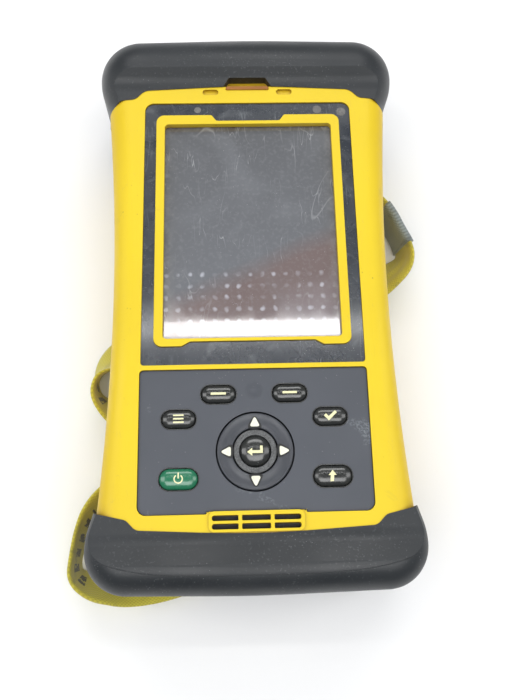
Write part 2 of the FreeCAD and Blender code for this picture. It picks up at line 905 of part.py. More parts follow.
def build_nav_keys():
    """The tilting ring in its gimbal, the fixed collar and the round key in the middle."""
    low = 42.15
    outer = size("nav_radius")
    ring = [
        (6.65, low, 0),
        (12.0, low, 0),
        (12.0, low + 0.6, 0),
        (outer, low + 0.6, 0),
        (outer, 46.75, 0.8),
        (8.6, 46.1, 6),
        (6.65, 46.5, 0.3),
    ]
    node("nav_ring", turned("ring", ring, 0, "nav_y"))
    gimbal = [(12.4, 42.1, 0), (13.4, 42.1, 0), (13.4, 42.5, 0), (12.4, 42.5, 0)]
    node("nav_gimbal", turned("gimbal", gimbal, 0, "nav_y"))
    mat = size("mat_level")
    collar = [(5.5, mat, 0), (6.2, mat, 0), (6.2, 45.9, 0.2)]
    collar += [(4.55, 45.9, 0.2), (4.55, 43.4, 0), (5.5, 43.4, 0)]
    node("enter_collar", turned("collar", collar, 0, "nav_y"))
    enter = new_body("enter")
    for radius, height in ((5.2, 0.8), (4.35, "key_top_level - key_flange_level")):
        sketch = new_sketch(enter, "key_flange_level")
        circle(sketch, radius, 0, "nav_y")
        pad(enter, sketch, height)
    fillet(enter, 1.4, lambda edge: edge.BoundBox.ZMin > size("key_top_level") - 0.01)
    node("enter_key", enter)


# Electronics -----------------------------------------------------------------------------


def build_electronics():
    board = new_body("board")
    sketch = new_sketch(board, "main_board_level")
    rectangle(sketch, "main_board_width", "main_board_length", 2)
    for x, y in POSTS:
        circle(sketch, "board_screw_radius + 0.1", x, y)
    pad(board, sketch, "main_board_thickness")
    node("main_board", board)
    top = "main_board_level + main_board_thickness"
    screws = []
    for x, y in POSTS:
        shank = cylinder("board_shank", "board_screw_radius", 8, x, y, f"{top} - 7.5")
        head = cylinder("board_head", 1.9, 1.4, x, y, top)
        screws.append(join("board_screw", [shank, head]))
    node("board_screws", group("board_screw_group", screws))
    cans = [
        plate("processor_can", [(30, 26, 1, -12, 30), (29.4, 25.4, 0.8, -12, 30)], top, "can_height"),
        plate("radio_can", [(22, 26, 1, 18, 30), (21.4, 25.4, 0.8, 18, 30)], top, "can_height"),
    ]
    lids = [
        plate("processor_lid", [(30, 26, 1, -12, 30)], f"{top} + can_height", 0.3),
        plate("radio_lid", [(22, 26, 1, 18, 30)], f"{top} + can_height", 0.3),
    ]
    joined = [join("can", [can, lid]) for can, lid in zip(cans, lids)]
    node("shield_cans", group("can_group", joined))
    chips = [plate("chip", [(wide, tall, 0.3, x, y)], top, 1.2) for x, y, wide, tall in CHIPS]
    node("circuit_chips", group("chip_group", chips))
    node("coin_cell", cylinder("cell", 6.2, 2.0, 20, -2, top))
    node("speaker", plate("speaker_body", [(24, 8.2, 2, 0, -70.0)], 38.6, 3.2))
    node("speaker_mesh", plate("mesh", [(25, 8.0, 1, 0, -69.5)], "inner_face_level - 0.5", 0.5))
    node("microphone", cylinder("capsule", 2.0, 2.6, 17, -69.5, 39.5))
    node("radio_antenna", plate("radio_patch", [(46, 8, 1, 0, 70)], "inner_face_level - 1.5", 1.2))
    node("position_antenna", plate("patch", [(18, 12, 1, 24, 71)], "inner_back_level + 6", 4))
    node("display_cable", span_box("display_flex", (-14, 6), (-24, -23.7), (f"{top}", 40.6)))
    node("keypad_cable", span_box("keypad_flex", (-8, 8), (-65.2, -64.9), (f"{top} - 4", 40.3)))
    node("camera_module", plate("camera", [(7.6, 7.6, 0.8, -34, 38)], "inner_back_level", 6))
    node("camera_window", cylinder("window", 3.0, 1.2, -34, 38, "back_level + 0.3"))


CHIPS = [(-12, 30, 14, 14), (16, 33, 9, 9), (-18, 4, 12, 8), (-2, 4, 12, 8), (4, -30, 9, 9), (-20, -34, 7, 7)]


# Battery ---------------------------------------------------------------------------------


def build_battery():
    pack = plate(
        "pack", [("battery_width", "battery_length", 2, 0, "battery_middle")], "inner_back_level - 0.5", 19.2
    )
    fillet(pack, 1.2, lambda edge: edge.BoundBox.ZMin > 29)
    node("battery_pack", pack)
    springs = [
        cylinder("contact", 0.9, 1.3, x, -34, "bay_level - 1.3") for x in (-9, -3, 3, 9)
    ]
    node("battery_contacts", group("contact_group", springs))
    seat = "back_level + door_thickness"
    door = new_body("door")
    sketch = new_sketch(door, "back_level")
    rectangle(sketch, "door_width", "door_length", 4, 0, "battery_middle")
    for y in ("turn_screw_top", "turn_screw_bottom"):
        circle(sketch, "turn_screw_radius + 0.2", 0, y)
    pad(door, sketch, "door_thickness")
    sketch = new_sketch(door, "back_level + 0.9")
    for y in ("turn_screw_top", "turn_screw_bottom"):
        circle(sketch, "turn_screw_head_radius + 0.3", 0, y)
    pocket(door, sketch, 1)
    node("battery_door", door)
    ring = [
        ("door_width - 0.8", "battery_length + 4.4", 2, 0, "battery_middle"),
        ("battery_width + 2.6", "battery_length + 2.6", 2, 0, "battery_middle"),
    ]
    node("door_gasket", plate("door_ring", ring, seat, "door_gasket_thickness"))
    for name, y in (("turn_screw_upper", "turn_screw_top"), ("turn_screw_lower", "turn_screw_bottom")):
        head = cylinder(f"{name}_head", "turn_screw_head_radius", 0.85, 0, y, "back_level")
        shank = cylinder(f"{name}_shank", "turn_screw_radius", 6.0, 0, y, "back_level")
        lug = span_box(f"{name}_lug", (-3.9, 3.9), (f"{y} - 1.2", f"{y} + 1.2"), (11.3, 13.0))
        slot = span_box(f"{name}_slot", (-3.6, 3.6), (f"{y} - 0.6", f"{y} + 0.6"), (7, "back_level + 0.5"))
        node(name, cut(f"{name}_cut", join(f"{name}_solid", [head, shank, lug]), [slot]))


# Connectors ------------------------------------------------------------------------------


def build_connectors():
    level = "connector_level"
    d_outline = [(17.4, 8.8, 2.4, 0, level), (16.4, 7.8, 1.9, 0, level)]
    shell = plate("d_shell", d_outline, "wall_inner_y - 0.8", 5.6, "XZ_Plane")
    flange = plate(
        "d_flange",
        [(30.8, 12.2, 1.5, 0, level), (16.4, 7.8, 1.9, 0, level)],
        "wall_inner_y - 0.8",
        0.8,
        "XZ_Plane",
    )
    holes = [
        cylinder("flange_hole", 1.5, 4, x, "-wall_inner_y - 1", level, ALONG_Y)
        for x in ("jack_nut_spacing / 2", "-jack_nut_spacing / 2")
    ]
    node("serial_shell", cut("serial_shell_cut", join("serial_solid", [shell, flange]), holes))
    insulator = plate("d_insulator", [(16.4, 7.8, 1.9, 0, level)], "wall_inner_y - 3.8", 6.6, "XZ_Plane")
    sketch = new_sketch(insulator, "wall_inner_y + 2.8", "XZ_Plane")
    for x, z in serial_pins():
        circle(sketch, 0.5, x, z)
    pocket(insulator, sketch, 6.6)
    node("serial_insulator", insulator)
    pins = [
        cylinder("serial_pin", 0.5, 9.6, x, "-wall_inner_y - 1.8", z, ALONG_Y) for x, z in serial_pins()
    ]
    node("serial_pins", group("serial_pin_group", pins))
    nuts = []
    for x in ("jack_nut_spacing / 2", "-jack_nut_spacing / 2"):
        hexagon = doc.addObject("Part::Prism", "hexagon")
        hexagon.Polygon = 6
        bound(hexagon, "Circumradius", 2.5)
        bound(hexagon, "Height", 1.9)
        place(hexagon, x, "-end_length - 1.9", level, ALONG_Y)
        stud = cylinder("stud", 1.5, 4.4, x, "-end_length - 0.1", level, ALONG_Y)
        bore = cylinder("bore", 1.42, 9, x, "-end_length - 2.5", level, ALONG_Y)
        nuts.append(cut("jack_nut", join("nut_solid", [hexagon, stud]), [bore]))
    node("serial_jack_nuts", group("nut_group", nuts))
    usb_outline = [(8.6, 4.0, 0.5, 23.5, level), (7.8, 3.2, 0.4, 23.5, level)]
    usb = plate("usb_shell", usb_outline, "wall_inner_y - 4", 6.4, "XZ_Plane")
    node("usb_port", usb)
    barrel = cylinder("barrel", 3.2, 8, 32, "-end_length", level, ALONG_Y)
    hollow = cylinder("barrel_bore", 2.6, 7, 32, "-end_length - 1", level, ALONG_Y)
    pin = cylinder("barrel_pin", 0.8, 6, 32, "-end_length + 1", level, ALONG_Y)
    node("power_jack", join("power_jack_solid", [cut("barrel_cut", barrel, [hollow]), pin]))
    build_port_cover()


def serial_pins():
    """Five pins over four."""
    level = size("connector_level")
    upper = [(2.77 * k, level + 1.42) for k in range(-2, 3)]
    lower = [(2.77 * (k + 0.5), level - 1.42) for k in range(-2, 2)]
    return upper + lower


def build_port_cover():
    """The hinged rubber cover over the data and power sockets."""
    lid_outline = [(19.6, 11.6, 1.5, "port_middle", "hinge_level + 6.4")]
    lid = plate("cover_lid", lid_outline, "end_length + 0.2", 2.3, "XZ_Plane")
    knuckle = cylinder("knuckle", 1.3, 19.0, 18.5, "-hinge_y", "hinge_level", ALONG_X)
    bore = cylinder("knuckle_bore", 0.85, 30, 13, "-hinge_y", "hinge_level", ALONG_X)
    node("port_cover", cut("port_cover_cut", join("cover_solid", [lid, knuckle]), [bore]))
    node("port_cover_pin", cylinder("cover_pin", 0.8, 25, 15.5, "-hinge_y", "hinge_level", ALONG_X))


# Screws, bars and strap ------------------------------------------------------------------


def build_fasteners():
    screws = []
    for x in ("boss_x", "-boss_x"):
        for y in (50, -6, -57):
            head = cylinder("screw_head", "screw_head_radius", 2.4, x, y, 9.4)
            shank = cylinder("screw_shank", "screw_radius", 26, x, y, 11.5)
            socket = doc.addObject("Part::Prism", "socket")
            socket.Polygon = 6
            bound(socket, "Circumradius", 1.2)
            bound(socket, "Height", 1.6)
            place(socket, x, y, 9)
            screws.append(cut("screw", join("screw_solid", [head, shank]), [socket]))
    node("housing_screws", group("screw_group", screws))
    node("strap_bar_top", cylinder("top_bar", "bar_radius", 34, -17, 62, "bar_level", ALONG_X))
    node("strap_bar_bottom", cylinder("bottom_bar", "bar_radius", 20, -3, -85.6, "bar_level", ALONG_Y))


def route_wire(points):
    """Straight runs joined by arcs as large as both runs of each corner allow."""
    edges = []
    start = points[0]
    radii = []
    for before, corner, after in zip(points, points[1:], points[2:]):
        back = (before - corner).normalize()
        ahead = (after - corner).normalize()
        half_turn = (math.pi - back.getAngle(ahead)) / 2
        run = min(before.distanceToPoint(corner), corner.distanceToPoint(after))
        reach = 0.45 * run
        radius = reach / math.tan(half_turn)
        towards = (back + ahead).normalize()
        crown = corner + towards * (radius / math.cos(half_turn) - radius)
        entry = corner + back * reach
        leave = corner + ahead * reach
        edges.append(Part.LineSegment(start, entry).toShape())
        edges.append(Part.Arc(entry, crown, leave).toShape())
        start = leave
        radii.append(round(radius, 1))
    edges.append(Part.LineSegment(start, points[-1]).toShape())
    print("strap radii", radii)
    return Part.Wire(edges)


def tilt_at(point, points, tilts):
    """The strap's tilt at a point of the route, blended between its corners."""
    best = None
    for index in range(len(points) - 1):
        run = points[index + 1] - points[index]
        share = (point - points[index]).dot(run) / run.dot(run)
        share = min(max(share, 0.0), 1.0)
        gap = point.distanceToPoint(points[index] + run * share)
        tilt = tilts[index] + (tilts[index + 1] - tilts[index]) * share
        if best is None or gap < best[0] - 1e-9:
            best = (gap, tilt)
    return best[1]


def ribbon(stations, tilts, width, thickness):
    """A flat band through stations of the route, ruled between its cross-sections."""
    sections = []
    last = len(stations) - 1
    for index, point in enumerate(stations):
        ahead = (stations[min(index + 1, last)] - stations[max(index - 1, 0)]).normalize()
        level = Vector(0, 0, 1).cross(ahead).normalize()
        upright = ahead.cross(level)
        angle = math.radians(tilts[index])
        across = level * math.cos(angle) + upright * math.sin(angle)
        through = ahead.cross(across)
        corners = [
            point + across * (a * width / 2) + through * (b * thickness / 2)
            for a, b in ((1, 1), (1, -1), (-1, -1), (-1, 1), (1, 1))
        ]
        sections.append(Part.makePolygon(corners))
    return Part.makeLoft(sections, True, True)


def build_strap():
    points = [Vector(x, y, z) for x, y, z, _ in STRAP_ROUTE]
    corner_tilts = [tilt for *_, tilt in STRAP_ROUTE]
    wire = route_wire(points)
    count = round(wire.Length / size("strap_station_gap"))
    stations = wire.discretize(Number=count)
    tilts = [tilt_at(point, points, corner_tilts) for point in stations]
    width = size("strap_width")
    thickness = size("strap_thickness")
    band = ribbon(stations, tilts, width, thickness)
    volume_share = band.Volume / (wire.Length * width * thickness)
    print("strap length", round(wire.Length, 1), "volume share", round(volume_share, 3))
    webbing = doc.addObject("Part::Feature", "webbing")
    webbing.Shape = band
    webbing.Placement = Placement()
    node("strap_webbing", webbing)
    covered = [k for k, point in enumerate(stations) if point.x > 48 and 24 < point.y < 38]
    part = slice(covered[0], covered[-1] + 1)
    wall = size("sleeve_thickness")
    outer = ribbon(stations[part], tilts[part], width + wall, thickness + 2 * wall)
    inner = ribbon(stations[part], tilts[part], width, thickness)
    sleeve = doc.addObject("Part::Feature", "sleeve")
    sleeve.Shape = outer.cut(inner)
    sleeve.Placement = Placement()
    node("strap_sleeve", sleeve)


# Build, check and write ------------------------------------------------------------------

block = housing_block()
build_rear_housing(block)
build_front_housing(block)
node("housing_seal", seal_ring("seal"))
build_boots(block)
build_display()
build_keypad()
build_electronics()
build_battery()
build_connectors()
build_fasteners()
build_strap()
doc.recompute()

problems = [
    f"{thing.Name}: {thing.State}"
    for thing in doc.Objects
    if "Invalid" in thing.State or "Error" in thing.State
]
for name, thing in nodes.items():
    shape = thing.Shape
    if shape.isNull() or not shape.isValid() or not shape.Solids:
        problems.append(f"{name}: no valid solid")
if problems:
    raise RuntimeError("; ".join(problems))

os.makedirs("parts", exist_ok=True)
for name, thing in nodes.items():
    thing.Shape.exportStep(f"parts/{name}.step")
print(len(nodes), "sub-parts")
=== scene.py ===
import math

import bmesh
import bpy
from mathutils import Matrix, Vector
from mathutils.bvhtree import BVHTree


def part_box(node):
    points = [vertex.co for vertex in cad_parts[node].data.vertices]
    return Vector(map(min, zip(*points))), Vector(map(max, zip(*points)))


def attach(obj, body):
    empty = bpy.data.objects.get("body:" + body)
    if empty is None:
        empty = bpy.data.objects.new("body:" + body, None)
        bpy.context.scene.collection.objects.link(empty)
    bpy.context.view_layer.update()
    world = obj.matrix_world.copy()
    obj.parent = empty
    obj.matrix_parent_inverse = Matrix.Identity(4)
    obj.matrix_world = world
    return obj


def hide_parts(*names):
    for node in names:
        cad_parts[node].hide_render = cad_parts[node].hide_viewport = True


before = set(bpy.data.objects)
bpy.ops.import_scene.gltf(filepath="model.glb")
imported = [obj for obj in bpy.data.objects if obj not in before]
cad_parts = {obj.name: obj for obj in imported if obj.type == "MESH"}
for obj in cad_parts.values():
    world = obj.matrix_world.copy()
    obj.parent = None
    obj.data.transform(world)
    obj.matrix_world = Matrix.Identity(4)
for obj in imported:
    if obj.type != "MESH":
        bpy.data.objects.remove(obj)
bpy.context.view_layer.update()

# The looks of a rugged data collector lying on its back. Everything is in metres in the
# model's own frame: +X right, +Y towards its top end, +Z out of the screen. Its origin is in
# the middle of the footprint, at the height of the lowest point.

MM = 0.001


# Places read from the frame ------------------------------------------------------------


def middle(node):
    """The middle of a CAD node's box."""
    low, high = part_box(node)
    return (Vector(low) + Vector(high)) / 2


def span(node):
    """The three lengths of a CAD node's box."""
    low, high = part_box(node)
    return Vector(high) - Vector(low)


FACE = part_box("keypad_face")[1][2]
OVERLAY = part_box("display_overlay")[1][2]
NAV = middle("nav_ring")
RING_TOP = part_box("nav_ring")[1][2]


# Materials -----------------------------------------------------------------------------


class Paint:
    """A node material built from procedural patterns in the object's own coordinates."""

    def __init__(self, name, colour, roughness=0.5, **settings):
        self.material = bpy.data.materials.new(name)
        self.material.use_nodes = True
        self.tree = self.material.node_tree
        self.shader = self.tree.nodes["Principled BSDF"]
        self.place = self.tree.nodes.new("ShaderNodeTexCoord").outputs["Object"]
        self.base = (*colour, 1.0)
        self.colour = None
        self.height = None
        self.set_value("Base Color", self.base)
        self.set_value("Roughness", roughness)
        for socket, value in settings.items():
            self.set_value(socket.replace("_", " "), value)
        self.material.diffuse_color = self.base

    def set_value(self, socket, value):
        self.shader.inputs[socket].default_value = value

    def add(self, kind, inputs=(), **settings):
        node = self.tree.nodes.new(kind)
        for key, value in settings.items():
            setattr(node, key, value)
        for socket, value in inputs:
            if isinstance(value, bpy.types.NodeSocket):
                self.tree.links.new(value, node.inputs[socket])
            else:
                node.inputs[socket].default_value = value
        return node

    def stretched(self, stretch, turn=0.0):
        inputs = [("Vector", self.place), ("Scale", stretch), ("Rotation", (0, 0, turn))]
        return self.add("ShaderNodeMapping", inputs).outputs["Vector"]

    def noise(self, scale, detail=3.0, place=None, distortion=0.0):
        inputs = [
            ("Vector", place or self.place),
            ("Scale", scale),
            ("Detail", detail),
            ("Distortion", distortion),
        ]
        return self.add("ShaderNodeTexNoise", inputs).outputs["Fac"]

    def cells(self, scale, feature="F1", place=None):
        inputs = [("Vector", place or self.place), ("Scale", scale)]
        return self.add("ShaderNodeTexVoronoi", inputs, feature=feature).outputs["Distance"]

    def between(self, value, low, high, to_low=0.0, to_high=1.0):
        """Spreads a value's range from low to high over to_low to to_high."""
        inputs = [(0, value), (1, low), (2, high), (3, to_low), (4, to_high)]
        return self.add("ShaderNodeMapRange", inputs).outputs["Result"]

    def maths(self, operation, first, second=0.0):
        return self.add("ShaderNodeMath", [(0, first), (1, second)], operation=operation).outputs[0]

    def tint(self, amount, colour):
        """Lays a colour over the base where amount is high."""
        mix = self.add("ShaderNodeMix", [("Factor", amount)], data_type="RGBA")
        if self.colour is None:
            mix.inputs[6].default_value = self.base
        else:
            self.tree.links.new(self.colour, mix.inputs[6])
        mix.inputs[7].default_value = (*colour, 1.0)
        self.colour = mix.outputs[2]
        self.tree.links.new(self.colour, self.shader.inputs["Base Color"])

    def rough(self, value):
        self.tree.links.new(value, self.shader.inputs["Roughness"])

    def bump(self, height, strength, distance):
        inputs = [("Height", height), ("Strength", strength), ("Distance", distance)]
        if self.height is not None:
            inputs.append(("Normal", self.height))
        self.height = self.add("ShaderNodeBump", inputs).outputs["Normal"]
        self.tree.links.new(self.height, self.shader.inputs["Normal"])

    def scratches(self, scale, turn, stretch=14.0, width=0.012):
        """Fine lines, mostly one way: the level lines of a stretched noise."""
        place = self.stretched((1.0, 1.0 / stretch, 1.0), turn)
        fine = self.noise(scale, 2.0, place, 0.4)
        gap = self.maths("ABSOLUTE", self.maths("SUBTRACT", fine, 0.5))
        line = self.between(gap, 0.0, width, 1.0, 0.0)
        patch = self.between(self.noise(scale * 0.35, 1.0), 0.56, 0.66)
        return self.maths("MULTIPLY", line, patch)

    def specks(self, scale, size=0.12, share=0.6):
        """Small separate dots, kept only where a wide noise is high."""
        dots = self.between(self.cells(scale), size * 0.6, size, 1.0, 0.0)
        patch = self.between(self.noise(scale * 0.11, 2.0), share, share + 0.08)
        return self.maths("MULTIPLY", dots, patch)

    def recess_shade(self, reach=0.003):
        """A mask for painted shade: high inside recesses and along inner corners."""
        node = self.add("ShaderNodeAmbientOcclusion", [("Distance", reach)], samples=8)
        return self.between(node.outputs["AO"], 0.35, 0.95, 1.0, 0.0)


def yellow_plastic():
    """Worn yellow housing, with painted shade towards its sides and in its corners."""
    paint = Paint("yellow_plastic", (0.75, 0.550, 0.006), 0.42)
    paint.set_value("Specular IOR Level", 0.45)
    paint.tint(paint.between(paint.noise(24, 4), 0.42, 0.72, 0.0, 0.6), (0.68, 0.485, 0.005))
    # Painted shade: darker and more orange towards the rounded left and right sides.
    split = paint.add("ShaderNodeSeparateXYZ", [("Vector", paint.place)])
    from_middle = paint.maths("ABSOLUTE", split.outputs["X"])
    outward = paint.between(from_middle, 37.5 * MM, 43.5 * MM, 0.0, 0.55)
    paint.tint(outward, (0.62, 0.40, 0.003))
    # Painted shade in recesses and inner corners.
    paint.tint(paint.maths("MULTIPLY", paint.recess_shade(0.0035), 0.8), (0.36, 0.19, 0.003))
    dirt = paint.between(paint.noise(70, 6, distortion=1.2), 0.68, 0.78, 0.0, 0.3)
    paint.tint(dirt, (0.34, 0.24, 0.05))
    paint.tint(paint.maths("MULTIPLY", paint.scratches(700, 0.5, 5.0), 0.25), (0.42, 0.31, 0.08))
    paint.tint(paint.maths("MULTIPLY", paint.specks(520, 0.14, 0.62), 0.7), (0.16, 0.11, 0.03))
    paint.rough(paint.between(paint.noise(60, 5), 0.3, 0.7, 0.36, 0.52))
    paint.bump(paint.noise(2600, 2), 0.12, 0.00006)
    return paint.material


def boot_rubber():
    """Charcoal rubber with dusty patches."""
    paint = Paint("boot_rubber", (0.012, 0.0145, 0.017), 0.42)
    paint.set_value("Specular IOR Level", 0.5)
    paint.tint(paint.between(paint.noise(22, 4), 0.35, 0.75, 0.0, 0.7), (0.020, 0.0235, 0.027))
    # Painted shade in recesses and inner corners.
    paint.tint(paint.maths("MULTIPLY", paint.recess_shade(0.003), 0.7), (0.010, 0.010, 0.012))
    dust = paint.between(paint.noise(1400, 2), 0.60, 0.70, 0.0, 0.28)
    patch = paint.between(paint.noise(34, 5), 0.42, 0.62)
    paint.tint(paint.maths("MULTIPLY", dust, patch), (0.15, 0.155, 0.16))
    paint.tint(paint.maths("MULTIPLY", paint.specks(900, 0.11, 0.47), 0.5), (0.30, 0.31, 0.32))
    paint.rough(paint.between(paint.noise(45, 5), 0.3, 0.7, 0.34, 0.52))
    paint.bump(paint.noise(3200, 3), 0.28, 0.00008)
    paint.bump(paint.noise(160, 3), 0.10, 0.0003)
    return paint.material


def overlay_gloss():
    """The near-black glossy sheet round the screen, smeared and finely scratched."""
    paint = Paint("overlay_gloss", (0.016, 0.021, 0.030), 0.25)
    paint.set_value("Coat Weight", 1.0)
    paint.set_value("Coat Roughness", 0.10)
    haze = paint.between(paint.noise(42, 6, distortion=1.5), 0.42, 0.75, 0.0, 0.5)
    paint.tint(haze, (0.050, 0.057, 0.068))
    smear = paint.between(paint.noise(90, 7, distortion=2.5), 0.56, 0.72, 0.0, 0.35)
    paint.tint(smear, (0.13, 0.14, 0.15))
    paint.tint(paint.maths("MULTIPLY", paint.specks(1500, 0.16, 0.40), 0.6), (0.30, 0.31, 0.30))
    paint.tint(paint.maths("MULTIPLY", paint.specks(620, 0.07, 0.45), 0.8), (0.45, 0.46, 0.46))
    paint.tint(paint.maths("MULTIPLY", paint.scratches(420, 0.3, 9.0), 0.35), (0.26, 0.28, 0.30))
    paint.tint(paint.maths("MULTIPLY", paint.scratches(330, 1.9, 9.0), 0.3), (0.26, 0.28, 0.30))
    paint.rough(paint.between(paint.noise(120, 5), 0.35, 0.7, 0.16, 0.42))
    paint.bump(paint.noise(900, 4), 0.08, 0.00004)
    return paint.material


def screen_glass():
    """A scratched, slightly milky touch panel over a dark display, with painted reflections and painted
    shade along its top edge.
    """
    paint = Paint("screen_glass", (0.105, 0.108, 0.116), 0.1)
    paint.set_value("Specular IOR Level", 0.9)
    paint.set_value("Coat Weight", 1.0)
    paint.set_value("Coat Roughness", 0.03)
    low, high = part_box("touch_panel")
    split = paint.add("ShaderNodeSeparateXYZ", [("Vector", paint.place)])
    down = paint.between(split.outputs["Y"], high[1], low[1])
    side = paint.between(split.outputs["X"], low[0], high[0])
    # Painted reflection: paler towards the bottom.
    pale = paint.between(down, 0.0, 0.85, 0.0, 0.75)
    paint.tint(pale, (0.165, 0.172, 0.190))
    # Painted shade along the top edge, with a ragged lower border.
    ragged = paint.maths("ADD", down, paint.between(paint.noise(160, 4), 0.3, 0.7, -0.02, 0.02))
    top_edge_shade = paint.between(ragged, 0.015, 0.065, 0.8, 0.0)
    paint.tint(top_edge_shade, (0.060, 0.045, 0.042))
    # Painted reflections: a warm band, then a lighter one towards the lower right corner.
    slope = paint.maths("ADD", down, paint.maths("MULTIPLY", side, 0.34))
    wavy = paint.maths("ADD", slope, paint.between(paint.noise(14, 2), 0.3, 0.7, -0.05, 0.05))
    warm_reflection = paint.between(wavy, 0.80, 0.90, 0.0, 0.85)
    paint.tint(warm_reflection, (0.165, 0.115, 0.108))
    light_reflection = paint.between(wavy, 1.0, 1.22, 0.0, 0.7)
    paint.tint(light_reflection, (0.225, 0.195, 0.215))
    haze = paint.between(paint.noise(30, 7, distortion=1.2), 0.5, 0.72, 0.0, 0.22)
    paint.tint(haze, (0.24, 0.25, 0.27))
    grime = paint.between(paint.noise(900, 4), 0.5, 0.7, 0.0, 0.12)
    paint.tint(grime, (0.34, 0.34, 0.35))
    border = paint.maths("MAXIMUM", paint.between(side, 0.10, 0.02), paint.between(side, 0.91, 0.98))
    rubbed = paint.between(paint.noise(240, 6, distortion=0.6), 0.42, 0.62, 0.0, 0.45)
    paint.tint(paint.maths("MULTIPLY", border, rubbed), (0.33, 0.33, 0.35))
    # Each set of scratches: its scale, turn, stretch and strength.
    scratch_sets = ((52, 0.35, 2.2, 0.34), (75, 2.3, 3.0, 0.3), (120, 1.2, 2.5, 0.26), (300, 0.8, 8.0, 0.35))
    for scale, turn, stretch, amount in scratch_sets:
        line = paint.scratches(scale, turn, stretch, 0.006)
        paint.tint(paint.maths("MULTIPLY", line, amount), (0.62, 0.63, 0.65))
    paint.tint(paint.maths("MULTIPLY", paint.specks(1100, 0.10, 0.5), 0.7), (0.55, 0.56, 0.57))
    # Painted reflection of a panel of small lamps, as rows of faint dots.
    paint.tint(reflected_lamp_dots(paint, split, low), (0.62, 0.63, 0.70))
    paint.rough(paint.between(paint.noise(60, 6, distortion=1.0), 0.35, 0.7, 0.03, 0.12))
    return paint.material


def reflected_lamp_dots(paint, split, low):
    """Rows of faint round dots across the lower third of the screen: a painted reflection of a panel of
    small lamps.
    """
    pitch = 3.66 * MM
    drift_scales = {"X": 340, "Y": 290}
    offsets = []
    for axis, first_dot in (("X", low[0] + 6.7 * MM), ("Y", low[1] + 4.4 * MM)):
        from_start = paint.maths("SUBTRACT", split.outputs[axis], first_dot - pitch / 2)
        steps = paint.maths("MULTIPLY", from_start, 1 / pitch)
        drift = paint.between(paint.noise(drift_scales[axis], 2), 0.3, 0.7, -0.09, 0.09)
        offset = paint.maths("SUBTRACT", paint.maths("FRACT", steps), 0.5)
        offsets.append(paint.maths("ADD", offset, drift))
    squared = paint.maths("ADD", *(paint.maths("MULTIPLY", offset, offset) for offset in offsets))
    dots = paint.between(squared, 0.002, 0.062, 1.0, 0.0)
    above = paint.between(split.outputs["Y"], low[1] + 2.6 * MM, low[1] + 3 * MM)
    below = paint.between(split.outputs["Y"], low[1] + 24.8 * MM, low[1] + 24.4 * MM)
    rows = paint.maths("MULTIPLY", above, below)
    strength = paint.between(paint.noise(170, 2), 0.40, 0.64, 0.08, 0.62)
    return paint.maths("MULTIPLY", paint.maths("MULTIPLY", dots, rows), strength)


def keypad_slate():
    """The slate grey keypad face, with scuffs that show only as fine grain."""
    paint = Paint("keypad_slate", (0.072, 0.078, 0.092), 0.6)
    paint.set_value("Specular IOR Level", 0.4)
    paint.tint(paint.between(paint.noise(30, 5), 0.35, 0.75, 0.0, 0.6), (0.088, 0.095, 0.112))
    # Painted shade in recesses and along inner corners.
    paint.tint(paint.maths("MULTIPLY", paint.recess_shade(0.0012), 0.9), (0.010, 0.010, 0.011))
    scuff = paint.between(paint.noise(58, 8, distortion=1.2), 0.64, 0.74, 0.0, 0.5)
    grain = paint.between(paint.noise(1500, 2), 0.45, 0.6)
    paint.tint(paint.maths("MULTIPLY", scuff, grain), (0.33, 0.37, 0.39))
    paint.tint(paint.maths("MULTIPLY", paint.specks(800, 0.09, 0.54), 0.6), (0.45, 0.46, 0.47))
    paint.rough(paint.between(paint.noise(70, 5), 0.3, 0.7, 0.5, 0.66))
    paint.bump(paint.noise(2800, 2), 0.2, 0.00006)
    return paint.material


def key_gloss(name, colour, worn):
    """Lacquered key tops and lenses, a little uneven where they are worn."""
    paint = Paint(name, colour, 0.12)
    paint.set_value("Coat Weight", 1.0)
    paint.set_value("Coat Roughness", 0.16)
    paint.tint(paint.between(paint.noise(260, 4), 0.5, 0.8, 0.0, 0.5), worn)
    paint.tint(paint.maths("MULTIPLY", paint.specks(1100, 0.14, 0.55), 0.5), (0.35, 0.36, 0.35))
    paint.rough(paint.between(paint.noise(420, 4), 0.35, 0.7, 0.2, 0.34))
    return paint.material


def shaded(colour, share, lift=0.0):
    """A colour scaled by a share and lifted, never brighter than 1."""
    return tuple(min(1.0, c * share + lift) for c in colour)


def printed_ink(name, colour):
    paint = Paint(name, colour, 0.5)
    paint.tint(paint.between(paint.noise(900, 3), 0.55, 0.75, 0.0, 0.45), shaded(colour, 0.7))
    paint.bump(paint.noise(2500, 2), 0.1, 0.00003)
    return paint.material


def collar_plastic():
    paint = Paint("collar_plastic", (0.085, 0.088, 0.090), 0.55)
    paint.tint(paint.between(paint.noise(3600, 2), 0.5, 0.6, 0.0, 0.75), (0.19, 0.195, 0.195))
    paint.tint(paint.between(paint.noise(3100, 2), 0.56, 0.64, 0.0, 0.9), (0.022, 0.022, 0.022))
    paint.bump(paint.noise(3400, 3), 0.5, 0.00006)
    return paint.material


def ring_plastic():
    paint = Paint("ring_plastic", (0.046, 0.050, 0.060), 0.34)
    paint.tint(paint.between(paint.noise(160, 4), 0.4, 0.75, 0.0, 0.5), (0.070, 0.075, 0.088))
    paint.tint(paint.maths("MULTIPLY", paint.specks(700, 0.13, 0.6), 0.6), (0.30, 0.30, 0.30))
    paint.rough(paint.between(paint.noise(300, 4), 0.35, 0.7, 0.28, 0.42))
    paint.bump(paint.noise(2600, 2), 0.12, 0.00005)
    return paint.material


def dark_rubber():
    paint = Paint("dark_rubber", (0.035, 0.037, 0.042), 0.6)
    paint.tint(paint.between(paint.noise(120, 4), 0.4, 0.75, 0.0, 0.6), (0.065, 0.068, 0.075))
    paint.bump(paint.noise(2400, 3), 0.25, 0.00008)
    return paint.material


